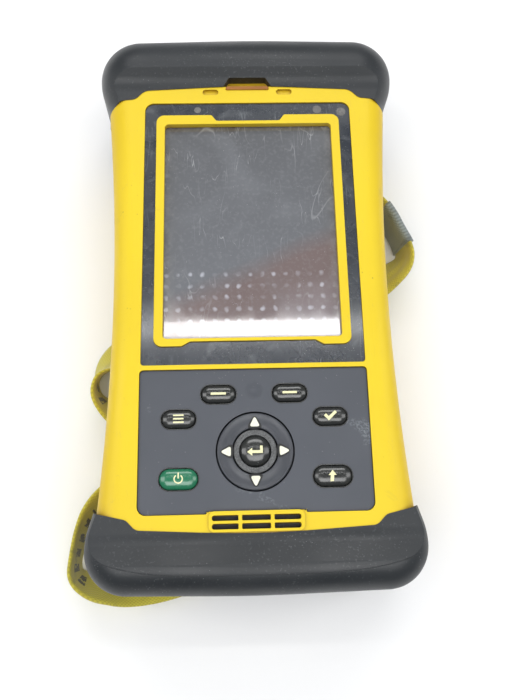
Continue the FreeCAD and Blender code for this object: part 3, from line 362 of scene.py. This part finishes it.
def metal(name, colour, roughness=0.3):
    paint = Paint(name, colour, roughness, Metallic=1.0)
    paint.tint(paint.between(paint.noise(300, 5), 0.5, 0.8, 0.0, 0.5), shaded(colour, 0.62))
    brushed = paint.noise(700, 3, paint.stretched((1, 8, 1)))
    paint.rough(paint.between(brushed, 0.3, 0.7, roughness - 0.08, roughness + 0.14))
    paint.bump(paint.scratches(600, 0.7), 0.3, 0.00002)
    return paint.material


def moulded(name, colour, roughness=0.45):
    paint = Paint(name, colour, roughness)
    paint.tint(paint.between(paint.noise(150, 5), 0.45, 0.75, 0.0, 0.5), shaded(colour, 1.6, 0.01))
    paint.tint(paint.maths("MULTIPLY", paint.scratches(300, 0.9), 0.4), shaded(colour, 2.5, 0.05))
    paint.bump(paint.noise(2000, 2), 0.18, 0.00006)
    return paint.material


def circuit_green():
    paint = Paint("circuit_green", (0.012, 0.10, 0.045), 0.35)
    tracks = paint.between(paint.cells(900, "DISTANCE_TO_EDGE"), 0.03, 0.06, 1.0, 0.0)
    paint.tint(paint.maths("MULTIPLY", tracks, 0.6), (0.05, 0.24, 0.10))
    paint.tint(paint.maths("MULTIPLY", paint.specks(600, 0.2, 0.45), 0.9), (0.62, 0.50, 0.22))
    return paint.material


def webbing(name, colour, shade, dirt, printed):
    """Woven strap cloth from its own along and across coordinates, with printed dashes."""
    paint = Paint(name, colour, 0.85)
    paint.set_value("Sheen Weight", 0.35)
    paint.set_value("Sheen Roughness", 0.5)
    place = paint.add("ShaderNodeAttribute", attribute_name="weave").outputs["Vector"]
    split = paint.add("ShaderNodeSeparateXYZ", [("Vector", place)])
    along, across, side = split.outputs
    rib_pitch, pick_pitch = 0.0009, 0.0011
    ribs = paint.maths("SINE", paint.maths("MULTIPLY", across, 2 * math.pi / rib_pitch))
    picks = paint.maths("SINE", paint.maths("MULTIPLY", along, 2 * math.pi / pick_pitch))
    weave = paint.between(paint.maths("MULTIPLY", ribs, picks), -1.0, 1.0)
    paint.tint(paint.between(weave, 0.2, 0.75, 0.75, 0.0), shade)
    paint.tint(paint.between(paint.noise(60, 5), 0.45, 0.75, 0.0, 0.5), shade)
    paint.tint(paint.between(paint.noise(130, 6, distortion=1.0), 0.58, 0.74, 0.0, 0.55), dirt)
    if printed:
        ink = printed_dashes(paint, along, across, side)
        paint.tint(paint.maths("MULTIPLY", ink, 0.93), (0.018, 0.018, 0.012))
    paint.bump(weave, 0.55, 0.0002)
    return paint.material


def printed_dashes(paint, along, across, side):
    """Short plain bars in spaced groups along the strap's outer side."""
    dash_pitch, group_pitch = 0.0046, 0.031
    in_dash = paint.maths("FRACT", paint.maths("MULTIPLY", along, 1 / dash_pitch))
    dash = paint.between(in_dash, 0.52, 0.56, 1.0, 0.0)
    in_group = paint.maths("FRACT", paint.maths("MULTIPLY", along, 1 / group_pitch))
    group = paint.between(in_group, 0.78, 0.80, 1.0, 0.0)
    from_line = paint.maths("ABSOLUTE", paint.maths("SUBTRACT", across, 0.0006))
    row = paint.between(from_line, 0.0026, 0.0029, 1.0, 0.0)
    ink = paint.maths("MULTIPLY", paint.maths("MULTIPLY", dash, group), row)
    ink = paint.maths("MULTIPLY", ink, paint.between(side, 0.4, 0.6))
    return paint.maths("MULTIPLY", ink, paint.between(paint.noise(700, 3), 0.36, 0.46))


YELLOW = yellow_plastic()
RUBBER = boot_rubber()
GLOSS = overlay_gloss()
SCREEN = screen_glass()
SLATE = keypad_slate()
BLACK_KEY = key_gloss("black_key", (0.008, 0.009, 0.008), (0.022, 0.024, 0.02))
GREEN_KEY = key_gloss("green_key", (0.004, 0.155, 0.070), (0.003, 0.10, 0.045))
CREAM = printed_ink("cream_ink", (0.80, 0.78, 0.46))
PALE = printed_ink("pale_ink", (0.80, 0.80, 0.66))
BLACK_INK = printed_ink("black_ink", (0.010, 0.010, 0.010))
COLLAR = collar_plastic()
RING = ring_plastic()
DARK = dark_rubber()
STEEL = metal("steel", (0.62, 0.62, 0.61))
TIN = metal("tinned_steel", (0.70, 0.70, 0.69), 0.35)
GOLD = metal("gold", (0.86, 0.62, 0.27), 0.28)
BLACK_PLASTIC = moulded("black_plastic", (0.022, 0.023, 0.026))
DOOR_PLASTIC = moulded("door_plastic", (0.055, 0.058, 0.066), 0.55)
SMOKE = key_gloss("smoked_lens", (0.11, 0.105, 0.10), (0.20, 0.20, 0.19))
AMBER = moulded("amber_flex", (0.42, 0.19, 0.03), 0.35)
# Dark orange for the notch strip: painted shade standing for the yellow housing in the notch's shadow.
NOTCH_SHADE = moulded("painted_notch_shade", (0.27, 0.095, 0.003), 0.5)
GREEN_BOARD = circuit_green()
WEB_YELLOW = webbing("strap_cloth", (0.60, 0.53, 0.055), (0.38, 0.32, 0.035), (0.16, 0.15, 0.05), True)
WEB_GREY = webbing("sleeve_cloth", (0.27, 0.31, 0.31), (0.13, 0.15, 0.15), (0.03, 0.03, 0.03), False)

# The material of each CAD node.
DRESS = [
    (YELLOW, "front_housing rear_housing"),
    (RUBBER, "top_boot bottom_boot port_cover"),
    (GLOSS, "display_overlay"),
    (SCREEN, "touch_panel"),
    (SLATE, "keypad_face"),
    (COLLAR, "enter_collar"),
    (SMOKE, "indicator_lenses camera_window"),
    (DARK, "display_gasket housing_seal door_gasket keypad_mat"),
    (DOOR_PLASTIC, "battery_door"),
    (BLACK_PLASTIC, "lcd_panel battery_pack circuit_chips speaker speaker_mesh microphone"),
    (BLACK_PLASTIC, "camera_module serial_insulator power_jack"),
    (STEEL, "dome_switches nav_gimbal strap_bar_top strap_bar_bottom port_cover_pin"),
    (STEEL, "turn_screw_upper turn_screw_lower"),
    (TIN, "lcd_tray shield_cans coin_cell housing_screws board_screws"),
    (TIN, "serial_shell serial_jack_nuts usb_port"),
    (GOLD, "battery_contacts serial_pins radio_antenna position_antenna"),
    (AMBER, "display_cable keypad_cable"),
    (GREEN_BOARD, "keypad_board main_board"),
]
for material, names in DRESS:
    for name in names.split():
        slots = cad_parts[name].data.materials
        if slots:
            for index in range(len(slots)):
                slots[index] = material
        else:
            slots.append(material)


# Mesh helpers --------------------------------------------------------------------------


def mesh_piece(name, points, faces, material, body, smooth=True):
    """A mesh object that rides on a body."""
    data = bpy.data.meshes.new(name)
    data.from_pydata([tuple(p) for p in points], [], faces)
    data.validate()
    data.materials.append(material)
    work = bmesh.new()
    work.from_mesh(data)
    bmesh.ops.recalc_face_normals(work, faces=work.faces)
    work.to_mesh(data)
    work.free()
    for face in data.polygons:
        face.use_smooth = smooth
    piece = bpy.data.objects.new(name, data)
    bpy.context.scene.collection.objects.link(piece)
    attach(piece, body)
    return piece


def wall(rings, count, closed=False):
    """Faces between rings of count points each; closed joins the last ring to the first."""
    faces = []
    for ring in range(rings if closed else rings - 1):
        here = ring * count
        there = (ring + 1) % rings * count
        for k in range(count):
            after = (k + 1) % count
            faces.append((here + k, here + after, there + after, there + k))
    return faces


def lathe(profile, centre, steps=96):
    """A closed skin turned about a vertical axis; a profile radius of 0 closes the cap."""
    points = []
    rows = []
    for radius, height in profile:
        if radius < 1e-7:
            rows.append([len(points)] * steps)
            points.append((centre[0], centre[1], height))
            continue
        rows.append([len(points) + k for k in range(steps)])
        for k in range(steps):
            angle = 2 * math.pi * k / steps
            x = centre[0] + radius * math.cos(angle)
            y = centre[1] + radius * math.sin(angle)
            points.append((x, y, height))
    faces = []
    for row, upper in zip(rows, rows[1:]):
        for k in range(steps):
            corners = [row[k], row[(k + 1) % steps], upper[(k + 1) % steps], upper[k]]
            unique = list(dict.fromkeys(corners))
            if len(unique) > 2:
                faces.append(unique)
    return points, faces


def pill_dome(low, high, base, crown):
    """A pill-shaped dome that fills a box in plan: returns points, faces and its height."""
    centre = (Vector(low) + Vector(high)) / 2
    half_x = (high[0] - low[0]) / 2
    half_y = (high[1] - low[1]) / 2
    straight = half_x - half_y

    def height(x, y):
        reach = max(abs(x - centre.x) - straight, 0.0)
        share = min(math.hypot(reach, y - centre.y) / half_y, 1.0)
        ends = min(abs(x - centre.x) / half_x, 1.0)
        return base + (crown - base) * (1 - share**2.4) ** 0.5 * (1 - 0.12 * ends**2)

    steps, rings = 96, 18
    skirt_depth = 3 * MM
    points = [(centre.x, centre.y, height(centre.x, centre.y))]
    for ring in range(1, rings + 1):
        share = math.sin(0.5 * math.pi * ring / rings)
        for k in range(steps):
            angle = 2 * math.pi * (k + 0.5) / steps
            side = math.copysign(straight, math.cos(angle))
            x = centre.x + (side + half_y * math.cos(angle)) * share
            y = centre.y + half_y * math.sin(angle) * share
            points.append((x, y, height(x, y) if ring < rings else base))
    skirt = len(points)
    for k in range(steps):
        x, y, _ = points[skirt - steps + k]
        points.append((x, y, base - skirt_depth))
    faces = [(0, 1 + k, 1 + (k + 1) % steps) for k in range(steps)]
    for ring in range(rings):
        start = 1 + ring * steps
        for k in range(steps):
            after = (k + 1) % steps
            faces.append((start + k, start + steps + k, start + steps + after, start + after))
    faces.append([skirt + k for k in range(steps)])
    return points, faces, height


def rounded(corners, radius, steps=6):
    """A closed outline whose corners are rounded."""
    outline = []
    count = len(corners)
    for index in range(count):
        before = Vector(corners[index - 1])
        corner = Vector(corners[index])
        after = Vector(corners[(index + 1) % count])
        back = (before - corner).normalized()
        ahead = (after - corner).normalized()
        half = back.angle(ahead) / 2
        shorter = min((before - corner).length, (after - corner).length)
        reach = min(radius / math.tan(half), shorter / 2.1)
        entry = corner + back * reach
        leave = corner + ahead * reach
        for k in range(steps + 1):
            t = k / steps
            outline.append(entry * (1 - t) ** 2 + corner * 2 * t * (1 - t) + leave * t**2)
    return outline


def inlay(name, outlines, height, material, body, rise=0.05 * MM):
    """Thin closed inlays whose outlines follow a curved surface given by height(x, y)."""
    work = bmesh.new()
    for outline in outlines:
        face = work.faces.new([work.verts.new((x, y, 0)) for x, y in outline])
        face.normal_update()
    bmesh.ops.triangulate(work, faces=work.faces[:])
    bmesh.ops.subdivide_edges(work, edges=work.edges[:], cuts=2, use_grid_fill=True)
    solid = bmesh.ops.extrude_face_region(work, geom=work.faces[:])
    raised = {item for item in solid["geom"] if isinstance(item, bmesh.types.BMVert)}
    for vert in work.verts:
        vert.co.z = height(vert.co.x, vert.co.y) + (rise if vert in raised else -rise)
    bmesh.ops.recalc_face_normals(work, faces=work.faces[:])
    data = bpy.data.meshes.new(name)
    work.to_mesh(data)
    work.free()
    data.materials.append(material)
    piece = bpy.data.objects.new(name, data)
    bpy.context.scene.collection.objects.link(piece)
    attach(piece, body)
    return piece


# Keys ----------------------------------------------------------------------------------


def ring_outline(radius, width, start, end, steps=36):
    """An arc-shaped band, angles in degrees."""
    outer = []
    inner = []
    for k in range(steps + 1):
        angle = math.radians(start + (end - start) * k / steps)
        way = Vector((math.cos(angle), math.sin(angle)))
        outer.append(way * (radius + width / 2))
        inner.append(way * (radius - width / 2))
    return outer + inner[::-1]


def block(x0, y0, x1, y1, radius=0.1):
    return rounded([(x0, y0), (x1, y0), (x1, y1), (x0, y1)], radius)


def corners_of(*points):
    return [Vector(point) for point in points]


# Each mark is drawn about its key's middle, in millimetres.
MARKS = {
    "soft_key_left": [block(-2.2, -0.32, 2.2, 0.32)],
    "soft_key_right": [block(-2.1, -0.32, 2.1, 0.32)],
    "start_key": [block(-1.5, y - 0.22, 1.5, y + 0.22, 0.08) for y in (-1.0, 0.0, 1.0)],
    "accept_key": [
        corners_of((-1.9, 0.1), (-1.3, 0.7), (-0.5, -0.15), (1.35, 1.55), (1.9, 0.95), (-0.5, -1.35))
    ],
    "power_key": [ring_outline(1.15, 0.36, -235, 55), block(-0.19, 0.1, 0.19, 1.75, 0.08)],
    "launch_key": [
        corners_of(
            (-0.9, -1.6), (0.1, -1.6), (0.25, 0.1), (0.95, 0.1),
            (-0.1, 1.55), (-1.35, 0.1), (-0.72, 0.1),
        )
    ],
    "enter_key": [
        corners_of(
            (-2.35, -0.35), (-0.9, 0.75), (-0.9, 0.05), (1.35, 0.05), (1.35, 1.35),
            (2.1, 1.35), (2.1, -0.75), (-0.9, -0.75), (-0.9, -1.45),
        )
    ],
}


def shifted(outlines, x, y):
    """Outlines in millimetres, moved to a place given in metres."""
    return [[(x + p[0] * MM, y + p[1] * MM) for p in outline] for outline in outlines]


def pill_keys():
    """The six pill-shaped keys as glossy domes in their dark rims."""
    flange = 0.8 * MM
    for name in ("soft_key_left", "soft_key_right", "start_key", "accept_key", "power_key", "launch_key"):
        low, high = (Vector(corner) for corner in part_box(name))
        low += Vector((flange, flange, 0))
        high -= Vector((flange, flange, 0))
        points, faces, height = pill_dome(low, high, FACE - 0.1 * MM, high.z)
        green = name == "power_key"
        material = GREEN_KEY if green else BLACK_KEY
        dome = mesh_piece(f"{name}_dome", points, faces, material, name)
        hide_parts(name)
        centre = (low + high) / 2
        marks = shifted(MARKS[name], centre.x, centre.y)
        inlay(f"{name}_mark", marks, height, CREAM, name)
        key_rim(f"{name}_rim", low, high)


def key_rim(name, low, high):
    """The thin black lip of the keypad round a key."""
    steps = 96
    gap = 0.12
    # The lip's section: how far out from the gap and how high over the face, in millimetres.
    section = ((0.0, -0.35), (0.02, 0.02), (0.14, 0.10), (0.30, 0.06), (0.42, -0.35))
    centre = (low + high) / 2
    half_y = (high.y - low.y) / 2
    straight = (high.x - low.x) / 2 - half_y
    points = []
    for out, rise in section:
        radius = half_y + (gap + out) * MM
        for k in range(steps):
            angle = 2 * math.pi * (k + 0.5) / steps
            side = math.copysign(straight, math.cos(angle))
            x = centre.x + side + radius * math.cos(angle)
            points.append((x, centre.y + radius * math.sin(angle), FACE + rise * MM))
    faces = wall(len(section), steps, closed=True)
    mesh_piece(name, points, faces, BLACK_KEY, "root")


def dish(radius):
    """The navigation ring's height at a radius: a shallow dish between two lips."""
    lowest, half_width = 8.75 * MM, 2.1 * MM
    share = min(abs((radius - lowest) / half_width), 1.15)
    return RING_TOP - 0.62 * MM + 0.5 * MM * share**2


def nav_ring():
    """The dished ring with its four arrows."""
    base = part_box("nav_ring")[0][2] + 0.2 * MM
    inner, outer = 6.62 * MM, 10.95 * MM
    inner_top = dish(inner + 0.3 * MM)
    outer_top = dish(outer - 0.5 * MM)
    profile = [(inner, base), (inner, inner_top - 0.25 * MM), (inner + 0.1 * MM, inner_top - 0.06 * MM)]
    profile += [(r * MM / 10, dish(r * MM / 10)) for r in range(70, 105, 2)]
    profile += [(outer - 0.25 * MM, outer_top - 0.06 * MM), (outer - 0.06 * MM, outer_top - 0.3 * MM)]
    profile += [(outer, outer_top - 0.7 * MM), (outer, base), (inner, base)]
    points, faces = lathe(profile, (NAV.x, NAV.y), 128)
    ring = mesh_piece("nav_ring_skin", points, faces, RING, "nav_ring")
    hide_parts("nav_ring")

    def height(x, y):
        return dish(math.hypot(x - NAV.x, y - NAV.y))

    # Each layer: how much it grows the arrow, its ink, its name and its rise over the dish.
    layers = ((0.7, BLACK_INK, "surround", 0.12), (0.0, PALE, "arrow", 0.2))
    for grow, material, label, rise in layers:
        outlines = []
        for quarter in range(4):
            turn = Matrix.Rotation(quarter * math.pi / 2, 2)
            half_width, foot = 1.55 + 1.5 * grow, 6.95 - grow
            corners = [(-half_width, foot), (half_width, foot), (0, 10.1 + 0.9 * grow)]
            outline = rounded(corners, 0.55 + grow * 0.8)
            outlines.append([(NAV.x + (turn @ p).x * MM, NAV.y + (turn @ p).y * MM) for p in outline])
        inlay(f"nav_{label}", outlines, height, material, "nav_ring", rise * MM)


def enter_dome():
    """The round key in the middle of the ring, with its return arrow."""
    low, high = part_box("enter_key")
    radius = 4.35 * MM
    crown = high[2] + 0.2 * MM
    base = FACE - 0.2 * MM

    def height(x, y):
        share = min(math.hypot(x - NAV.x, y - NAV.y) / radius, 1.0)
        return base + (crown - base) * math.sqrt(max(1 - share**2.3, 0.0))

    rings = 20
    profile = [(0.0, crown)]
    for ring in range(1, rings):
        reach = radius * math.sin(ring * math.pi / (2 * rings))
        profile.append((reach, height(NAV.x + reach, NAV.y)))
    profile += [(radius, base), (radius, low[2]), (0.0, low[2])]
    points, faces = lathe(profile, (NAV.x, NAV.y))
    dome = mesh_piece("enter_key_dome", points, faces, BLACK_KEY, "enter_key")
    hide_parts("enter_key")
    marks = shifted(MARKS["enter_key"], NAV.x, NAV.y)
    inlay("enter_key_mark", marks, height, CREAM, "enter_key")


def keypad_bump():
    """The low dome between the two soft keys, over a sensor or an unused key place."""
    left, right = middle("soft_key_left"), middle("soft_key_right")
    centre = ((left.x + right.x) / 2, left.y + 1.0 * MM)
    radius, rise, sunk = 3.0 * MM, 0.95 * MM, 0.03 * MM
    rings = 15
    profile = []
    for ring in range(rings + 1):
        share = 0.5 + 0.5 * math.cos(math.pi * ring / rings)
        profile.append((radius * ring / rings, FACE - sunk + rise * share))
    profile += [(radius, FACE - 0.3 * MM), (0.0, FACE - 0.3 * MM)]
    points, faces = lathe(profile, centre, 64)
    mesh_piece("keypad_bump", points, faces, SLATE, "root")


pill_keys()
nav_ring()
enter_dome()
keypad_bump()


# Boots ---------------------------------------------------------------------------------


def top_surface(node):
    """Gives the height of a node's upper surface at a point."""
    tree = BVHTree.FromObject(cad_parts[node], bpy.context.evaluated_depsgraph_get())
    well_above = 0.1

    def height(x, y):
        return tree.ray_cast(Vector((x, y, well_above)), Vector((0, 0, -1)))[0].z

    return height


def boot_seam():
    """The fine moulding line that crosses the bottom boot along its ridge."""
    height = top_surface("bottom_boot")
    half_width = span("bottom_boot").x / 2 - 1.2 * MM
    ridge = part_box("bottom_boot")[0][1] + 5.4 * MM
    turned_up = 5.5 * MM
    steps, sides, radius = 120, 8, 0.16 * MM
    faded_ends = 8
    line = []
    for k in range(steps + 1):
        x = half_width * (2 * k / steps - 1)
        y = ridge + turned_up * (x / half_width) ** 4
        line.append(Vector((x, y, height(x, y) - 0.05 * MM)))
    points = []
    for k, point in enumerate(line):
        ahead = (line[min(k + 1, steps)] - line[max(k - 1, 0)]).normalized()
        side = ahead.cross(Vector((0, 0, 1))).normalized()
        lift = side.cross(ahead)
        fade = 0.25 + 0.75 * min(1.0, k / faded_ends, (steps - k) / faded_ends)
        for j in range(sides):
            angle = 2 * math.pi * j / sides
            outward = side * math.cos(angle) + lift * math.sin(angle)
            points.append(point + outward * radius * fade)
    faces = wall(steps + 1, sides)
    faces += [tuple(range(sides)), tuple(steps * sides + j for j in range(sides))]
    mesh_piece("boot_seam", points, faces, RUBBER, "root")


def notch_strip():
    """The edge of the housing that shows in the top boot's notch, coloured dark orange as painted shade."""
    across = middle("display_overlay").x
    front, back = 66.7 * MM, 67.9 * MM
    front_half, back_half = 7.1 * MM, 6.9 * MM
    corners = [(across - front_half, front), (across + front_half, front)]
    corners += [(across + back_half, back), (across - back_half, back)]
    outline = rounded(corners, 0.3 * MM)
    centre = Vector((across, (front + back) / 2))
    rim = [centre + (p - centre) * 0.97 for p in outline]
    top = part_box("front_housing")[1][2] - 0.15 * MM
    points = []
    for ring, height in ((outline, top - 1.6 * MM), (outline, top - 0.3 * MM), (rim, top)):
        points += [(x, y, height) for x, y in ring]
    count = len(outline)
    faces = wall(3, count) + [tuple(range(count)), tuple(2 * count + k for k in range(count))]
    mesh_piece("notch_strip", points, faces, NOTCH_SHADE, "root", smooth=False)


boot_seam()
notch_strip()


# Strap ---------------------------------------------------------------------------------

# The route of the strap's middle line in millimetres, with its tilt in degrees.
STRAP_ROUTE = [
    (0.0, 59.3, 3.2, 0),
    (0.8, 48.0, 3.8, 0),
    (14.0, 42.8, 4.0, 0),
    (29.0, 43.8, 4.0, 4),
    (40.5, 43.6, 4.4, 16),
    (46.6, 39.9, 8.2, 72),
    (50.5, 35.0, 8.8, 84),
    (53.1, 29.2, 8.8, 87),
    (55.5, 23.0, 8.6, 80),
    (53.6, 18.4, 7.8, 58),
    (48.4, 14.6, 6.6, 44),
    (41.0, 10.8, 5.0, 24),
    (29.0, 6.6, 4.0, 6),
    (10.0, 1.5, 4.0, 0),
    (-10.0, -4.0, 4.0, 0),
    (-28.0, -6.5, 3.8, 3),
    (-42.5, -11.2, 4.2, 12),
    (-51.2, -18.6, 8.0, 78),
    (-51.6, -25.6, 8.2, 98),
    (-46.8, -30.4, 7.2, 120),
    (-39.5, -33.4, 5.2, 150),
    (-30.0, -36.4, 4.0, 172),
    (-19.0, -38.4, 4.0, 180),
    (-8.5, -38.0, 4.0, 180),
    (-3.0, -47.5, 4.0, 180),
    (-8.5, -57.0, 4.0, 180),
    (-20.0, -58.2, 4.0, 180),
    (-33.0, -57.4, 4.0, 172),
    (-43.5, -58.2, 5.8, 144),
    (-50.4, -62.8, 7.8, 116),
    (-54.2, -69.6, 8.3, 100),
    (-56.2, -77.0, 8.3, 92),
    (-55.7, -82.6, 8.1, 102),
    (-50.6, -85.2, 6.9, 124),
    (-44.0, -84.8, 4.8, 150),
    (-36.0, -84.0, 3.6, 170),
    (-27.5, -82.4, 3.2, 178),
    (-17.0, -79.0, 3.2, 180),
    (-7.6, -75.8, 3.2, 180),
]
STRAP_WIDTH = 15.0 * MM
STRAP_THICKNESS = 1.4 * MM


def smooth_line(values):
    """Points along the NURBS spline that has these values as its control points."""
    data = bpy.data.curves.new("route", "CURVE")
    data.dimensions = "3D"
    data.resolution_u = 10
    spline = data.splines.new("NURBS")
    spline.points.add(len(values) - 1)
    for point, value in zip(spline.points, values):
        point.co = (*value, 1.0)
    spline.order_u = 3
    spline.use_endpoint_u = True
    holder = bpy.data.objects.new("route", data)
    mesh = bpy.data.meshes.new_from_object(holder)
    points = [v.co.copy() for v in mesh.vertices]
    bpy.data.objects.remove(holder)
    bpy.data.meshes.remove(mesh)
    return points


LINE = smooth_line([(x * MM, y * MM, z * MM) for x, y, z, _ in STRAP_ROUTE])
TILTS = [p.x for p in smooth_line([(tilt, 0, 0) for *_, tilt in STRAP_ROUTE])]


def band(name, first, last, width, thickness, ridges, material, slot):
    """A woven band along part of the line, with rounded edges and lengthwise ridges."""
    across_steps, edge_bulge = 16, 1.012
    # The section: how far across (-1 to 1) and which side, 1 for the upper and -1 for the lower.
    outline = [(-1 + 2 * k / across_steps, 1) for k in range(across_steps + 1)]
    outline += [(edge_bulge, 0)] + [(-a, -1) for a, _ in outline] + [(-edge_bulge, 0)]
    points, weave = [], []
    travelled = 0.0
    for index in range(first, last + 1):
        here = LINE[index]
        ahead = (LINE[min(index + 1, len(LINE) - 1)] - LINE[max(index - 1, 0)]).normalized()
        if index > first:
            travelled += (here - LINE[index - 1]).length
        level = Vector((0, 0, 1)).cross(ahead).normalized()
        upright = ahead.cross(level)
        tilt = math.radians(TILTS[index])
        across = level * math.cos(tilt) + upright * math.sin(tilt)
        through = ahead.cross(across)
        for a, side in outline:
            edge = 1 - 0.45 * abs(a) ** 12
            fold = ridges(index) * math.cos(a * math.pi * 3) * 0.5
            lift = side * thickness / 2 * edge + fold
            points.append(here + across * (a * width / 2) + through * lift)
            weave.append((travelled, a * width / 2, 0.5 - 0.5 * side))
    count = len(outline)
    rows = last - first + 1
    faces = wall(rows, count)
    faces.append(list(range(count)))
    faces.append([(rows - 1) * count + k for k in range(count)][::-1])
    piece = mesh_piece(name, points, faces, material, "root")
    attribute = piece.data.attributes.new("weave", "FLOAT_VECTOR", "POINT")
    for item, value in zip(attribute.data, weave):
        item.vector = value
    return piece


def right_loop_share(index):
    """How far a point of the line is into the lower half of the right loop, from 0 to 1."""
    beyond, start, end = 38 * MM, 8 * MM, 23 * MM
    point = LINE[index]
    if point.x <= beyond or not start < point.y < end:
        return 0.0
    return max(0.0, math.sin(math.pi * (point.y - start) / (end - start)))


def sleeve_range():
    """The first and last points of the line that the grey sleeve covers."""
    beyond, start, end = 48 * MM, 24.3 * MM, 37.8 * MM
    covered = [k for k, p in enumerate(LINE) if p.x > beyond and start < p.y < end]
    return covered[0], covered[-1]


strap = band(
    "strap_band", 0, len(LINE) - 1, STRAP_WIDTH, STRAP_THICKNESS,
    lambda index: 0.35 * MM * right_loop_share(index), WEB_YELLOW, "webbing_yellow",
)
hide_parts("strap_webbing")
sleeve = band(
    "strap_sleeve_band", *sleeve_range(), STRAP_WIDTH + 0.9 * MM, STRAP_THICKNESS + 1.8 * MM,
    lambda index: 0.0, WEB_GREY, "sleeve_grey",
)
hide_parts("strap_sleeve")


# Floor, light and camera ---------------------------------------------------------------


def floor():
    """A wide white card just under the object."""
    half, level = 1.6, -0.2 * MM
    points = [(-half, -half, level), (half, -half, level), (half, half, level), (-half, half, level)]
    data = bpy.data.meshes.new("floor")
    data.from_pydata(points, [], [(0, 1, 2, 3)])
    paint = Paint("floor_card", (0.90, 0.90, 0.90), 0.8)
    data.materials.append(paint.material)
    plane = bpy.data.objects.new("floor", data)
    bpy.context.scene.collection.objects.link(plane)


def area_light(name, place, target, size, power):
    data = bpy.data.lights.new(name, "AREA")
    data.shape = "RECTANGLE"
    data.size, data.size_y = size
    data.energy = power
    lamp = bpy.data.objects.new(name, data)
    lamp.location = place
    lamp.rotation_euler = (Vector(target) - Vector(place)).to_track_quat("-Z", "Y").to_euler()
    bpy.context.scene.collection.objects.link(lamp)


def studio():
    """Soft lights that stand clear of what the flat faces mirror, and one strip that they show."""
    floor()
    area_light("front_soft", (0.0, -0.38, 1.05), (0, -0.30, 0), (1.2, 0.5), 7.0)
    area_light("back_soft", (0.0, 0.92, 1.0), (0, 0.1, 0), (1.3, 0.4), 6.5)
    area_light("left_soft", (-1.0, 0.1, 0.8), (0, 0, 0), (0.5, 1.0), 4.6)
    area_light("right_soft", (1.0, 0.1, 0.8), (0, 0, 0), (0.5, 1.0), 4.0)
    area_light("strip", (0.0, 0.262, 1.05), (0, 0, 0), (0.9, 0.022), 0.8)
    world = bpy.data.worlds.new("studio")
    world.use_nodes = True
    background = world.node_tree.nodes["Background"]
    background.inputs["Color"].default_value = (0.93, 0.96, 1.0, 1.0)
    background.inputs["Strength"].default_value = 0.34
    bpy.context.scene.world = world


def turned_camera(axis_degrees):
    """The rotation whose axis times angle is given in degrees about X, Y and Z."""
    axis = Vector([math.radians(value) for value in axis_degrees])
    return Matrix.Rotation(axis.length, 4, axis.normalized())


def camera():
    """The camera, over the bottom end and turned towards the top end."""
    from_middle = (-0.006165, -0.085191)
    above_overlay = 0.260933
    turn_degrees = (19.45637, -1.84014, -1.17990)
    data = bpy.data.cameras.new("camera")
    data.sensor_width = 36.0
    data.lens = 46.55
    data.shift_y = -0.125
    data.clip_start = 0.01
    eye = bpy.data.objects.new("camera", data)
    place = Vector((*from_middle, OVERLAY + above_overlay))
    eye.matrix_world = Matrix.Translation(place) @ turned_camera(turn_degrees)
    bpy.context.scene.collection.objects.link(eye)
    bpy.context.scene.camera = eye


bpy.context.scene.view_settings.view_transform = "Standard"
studio()
camera()
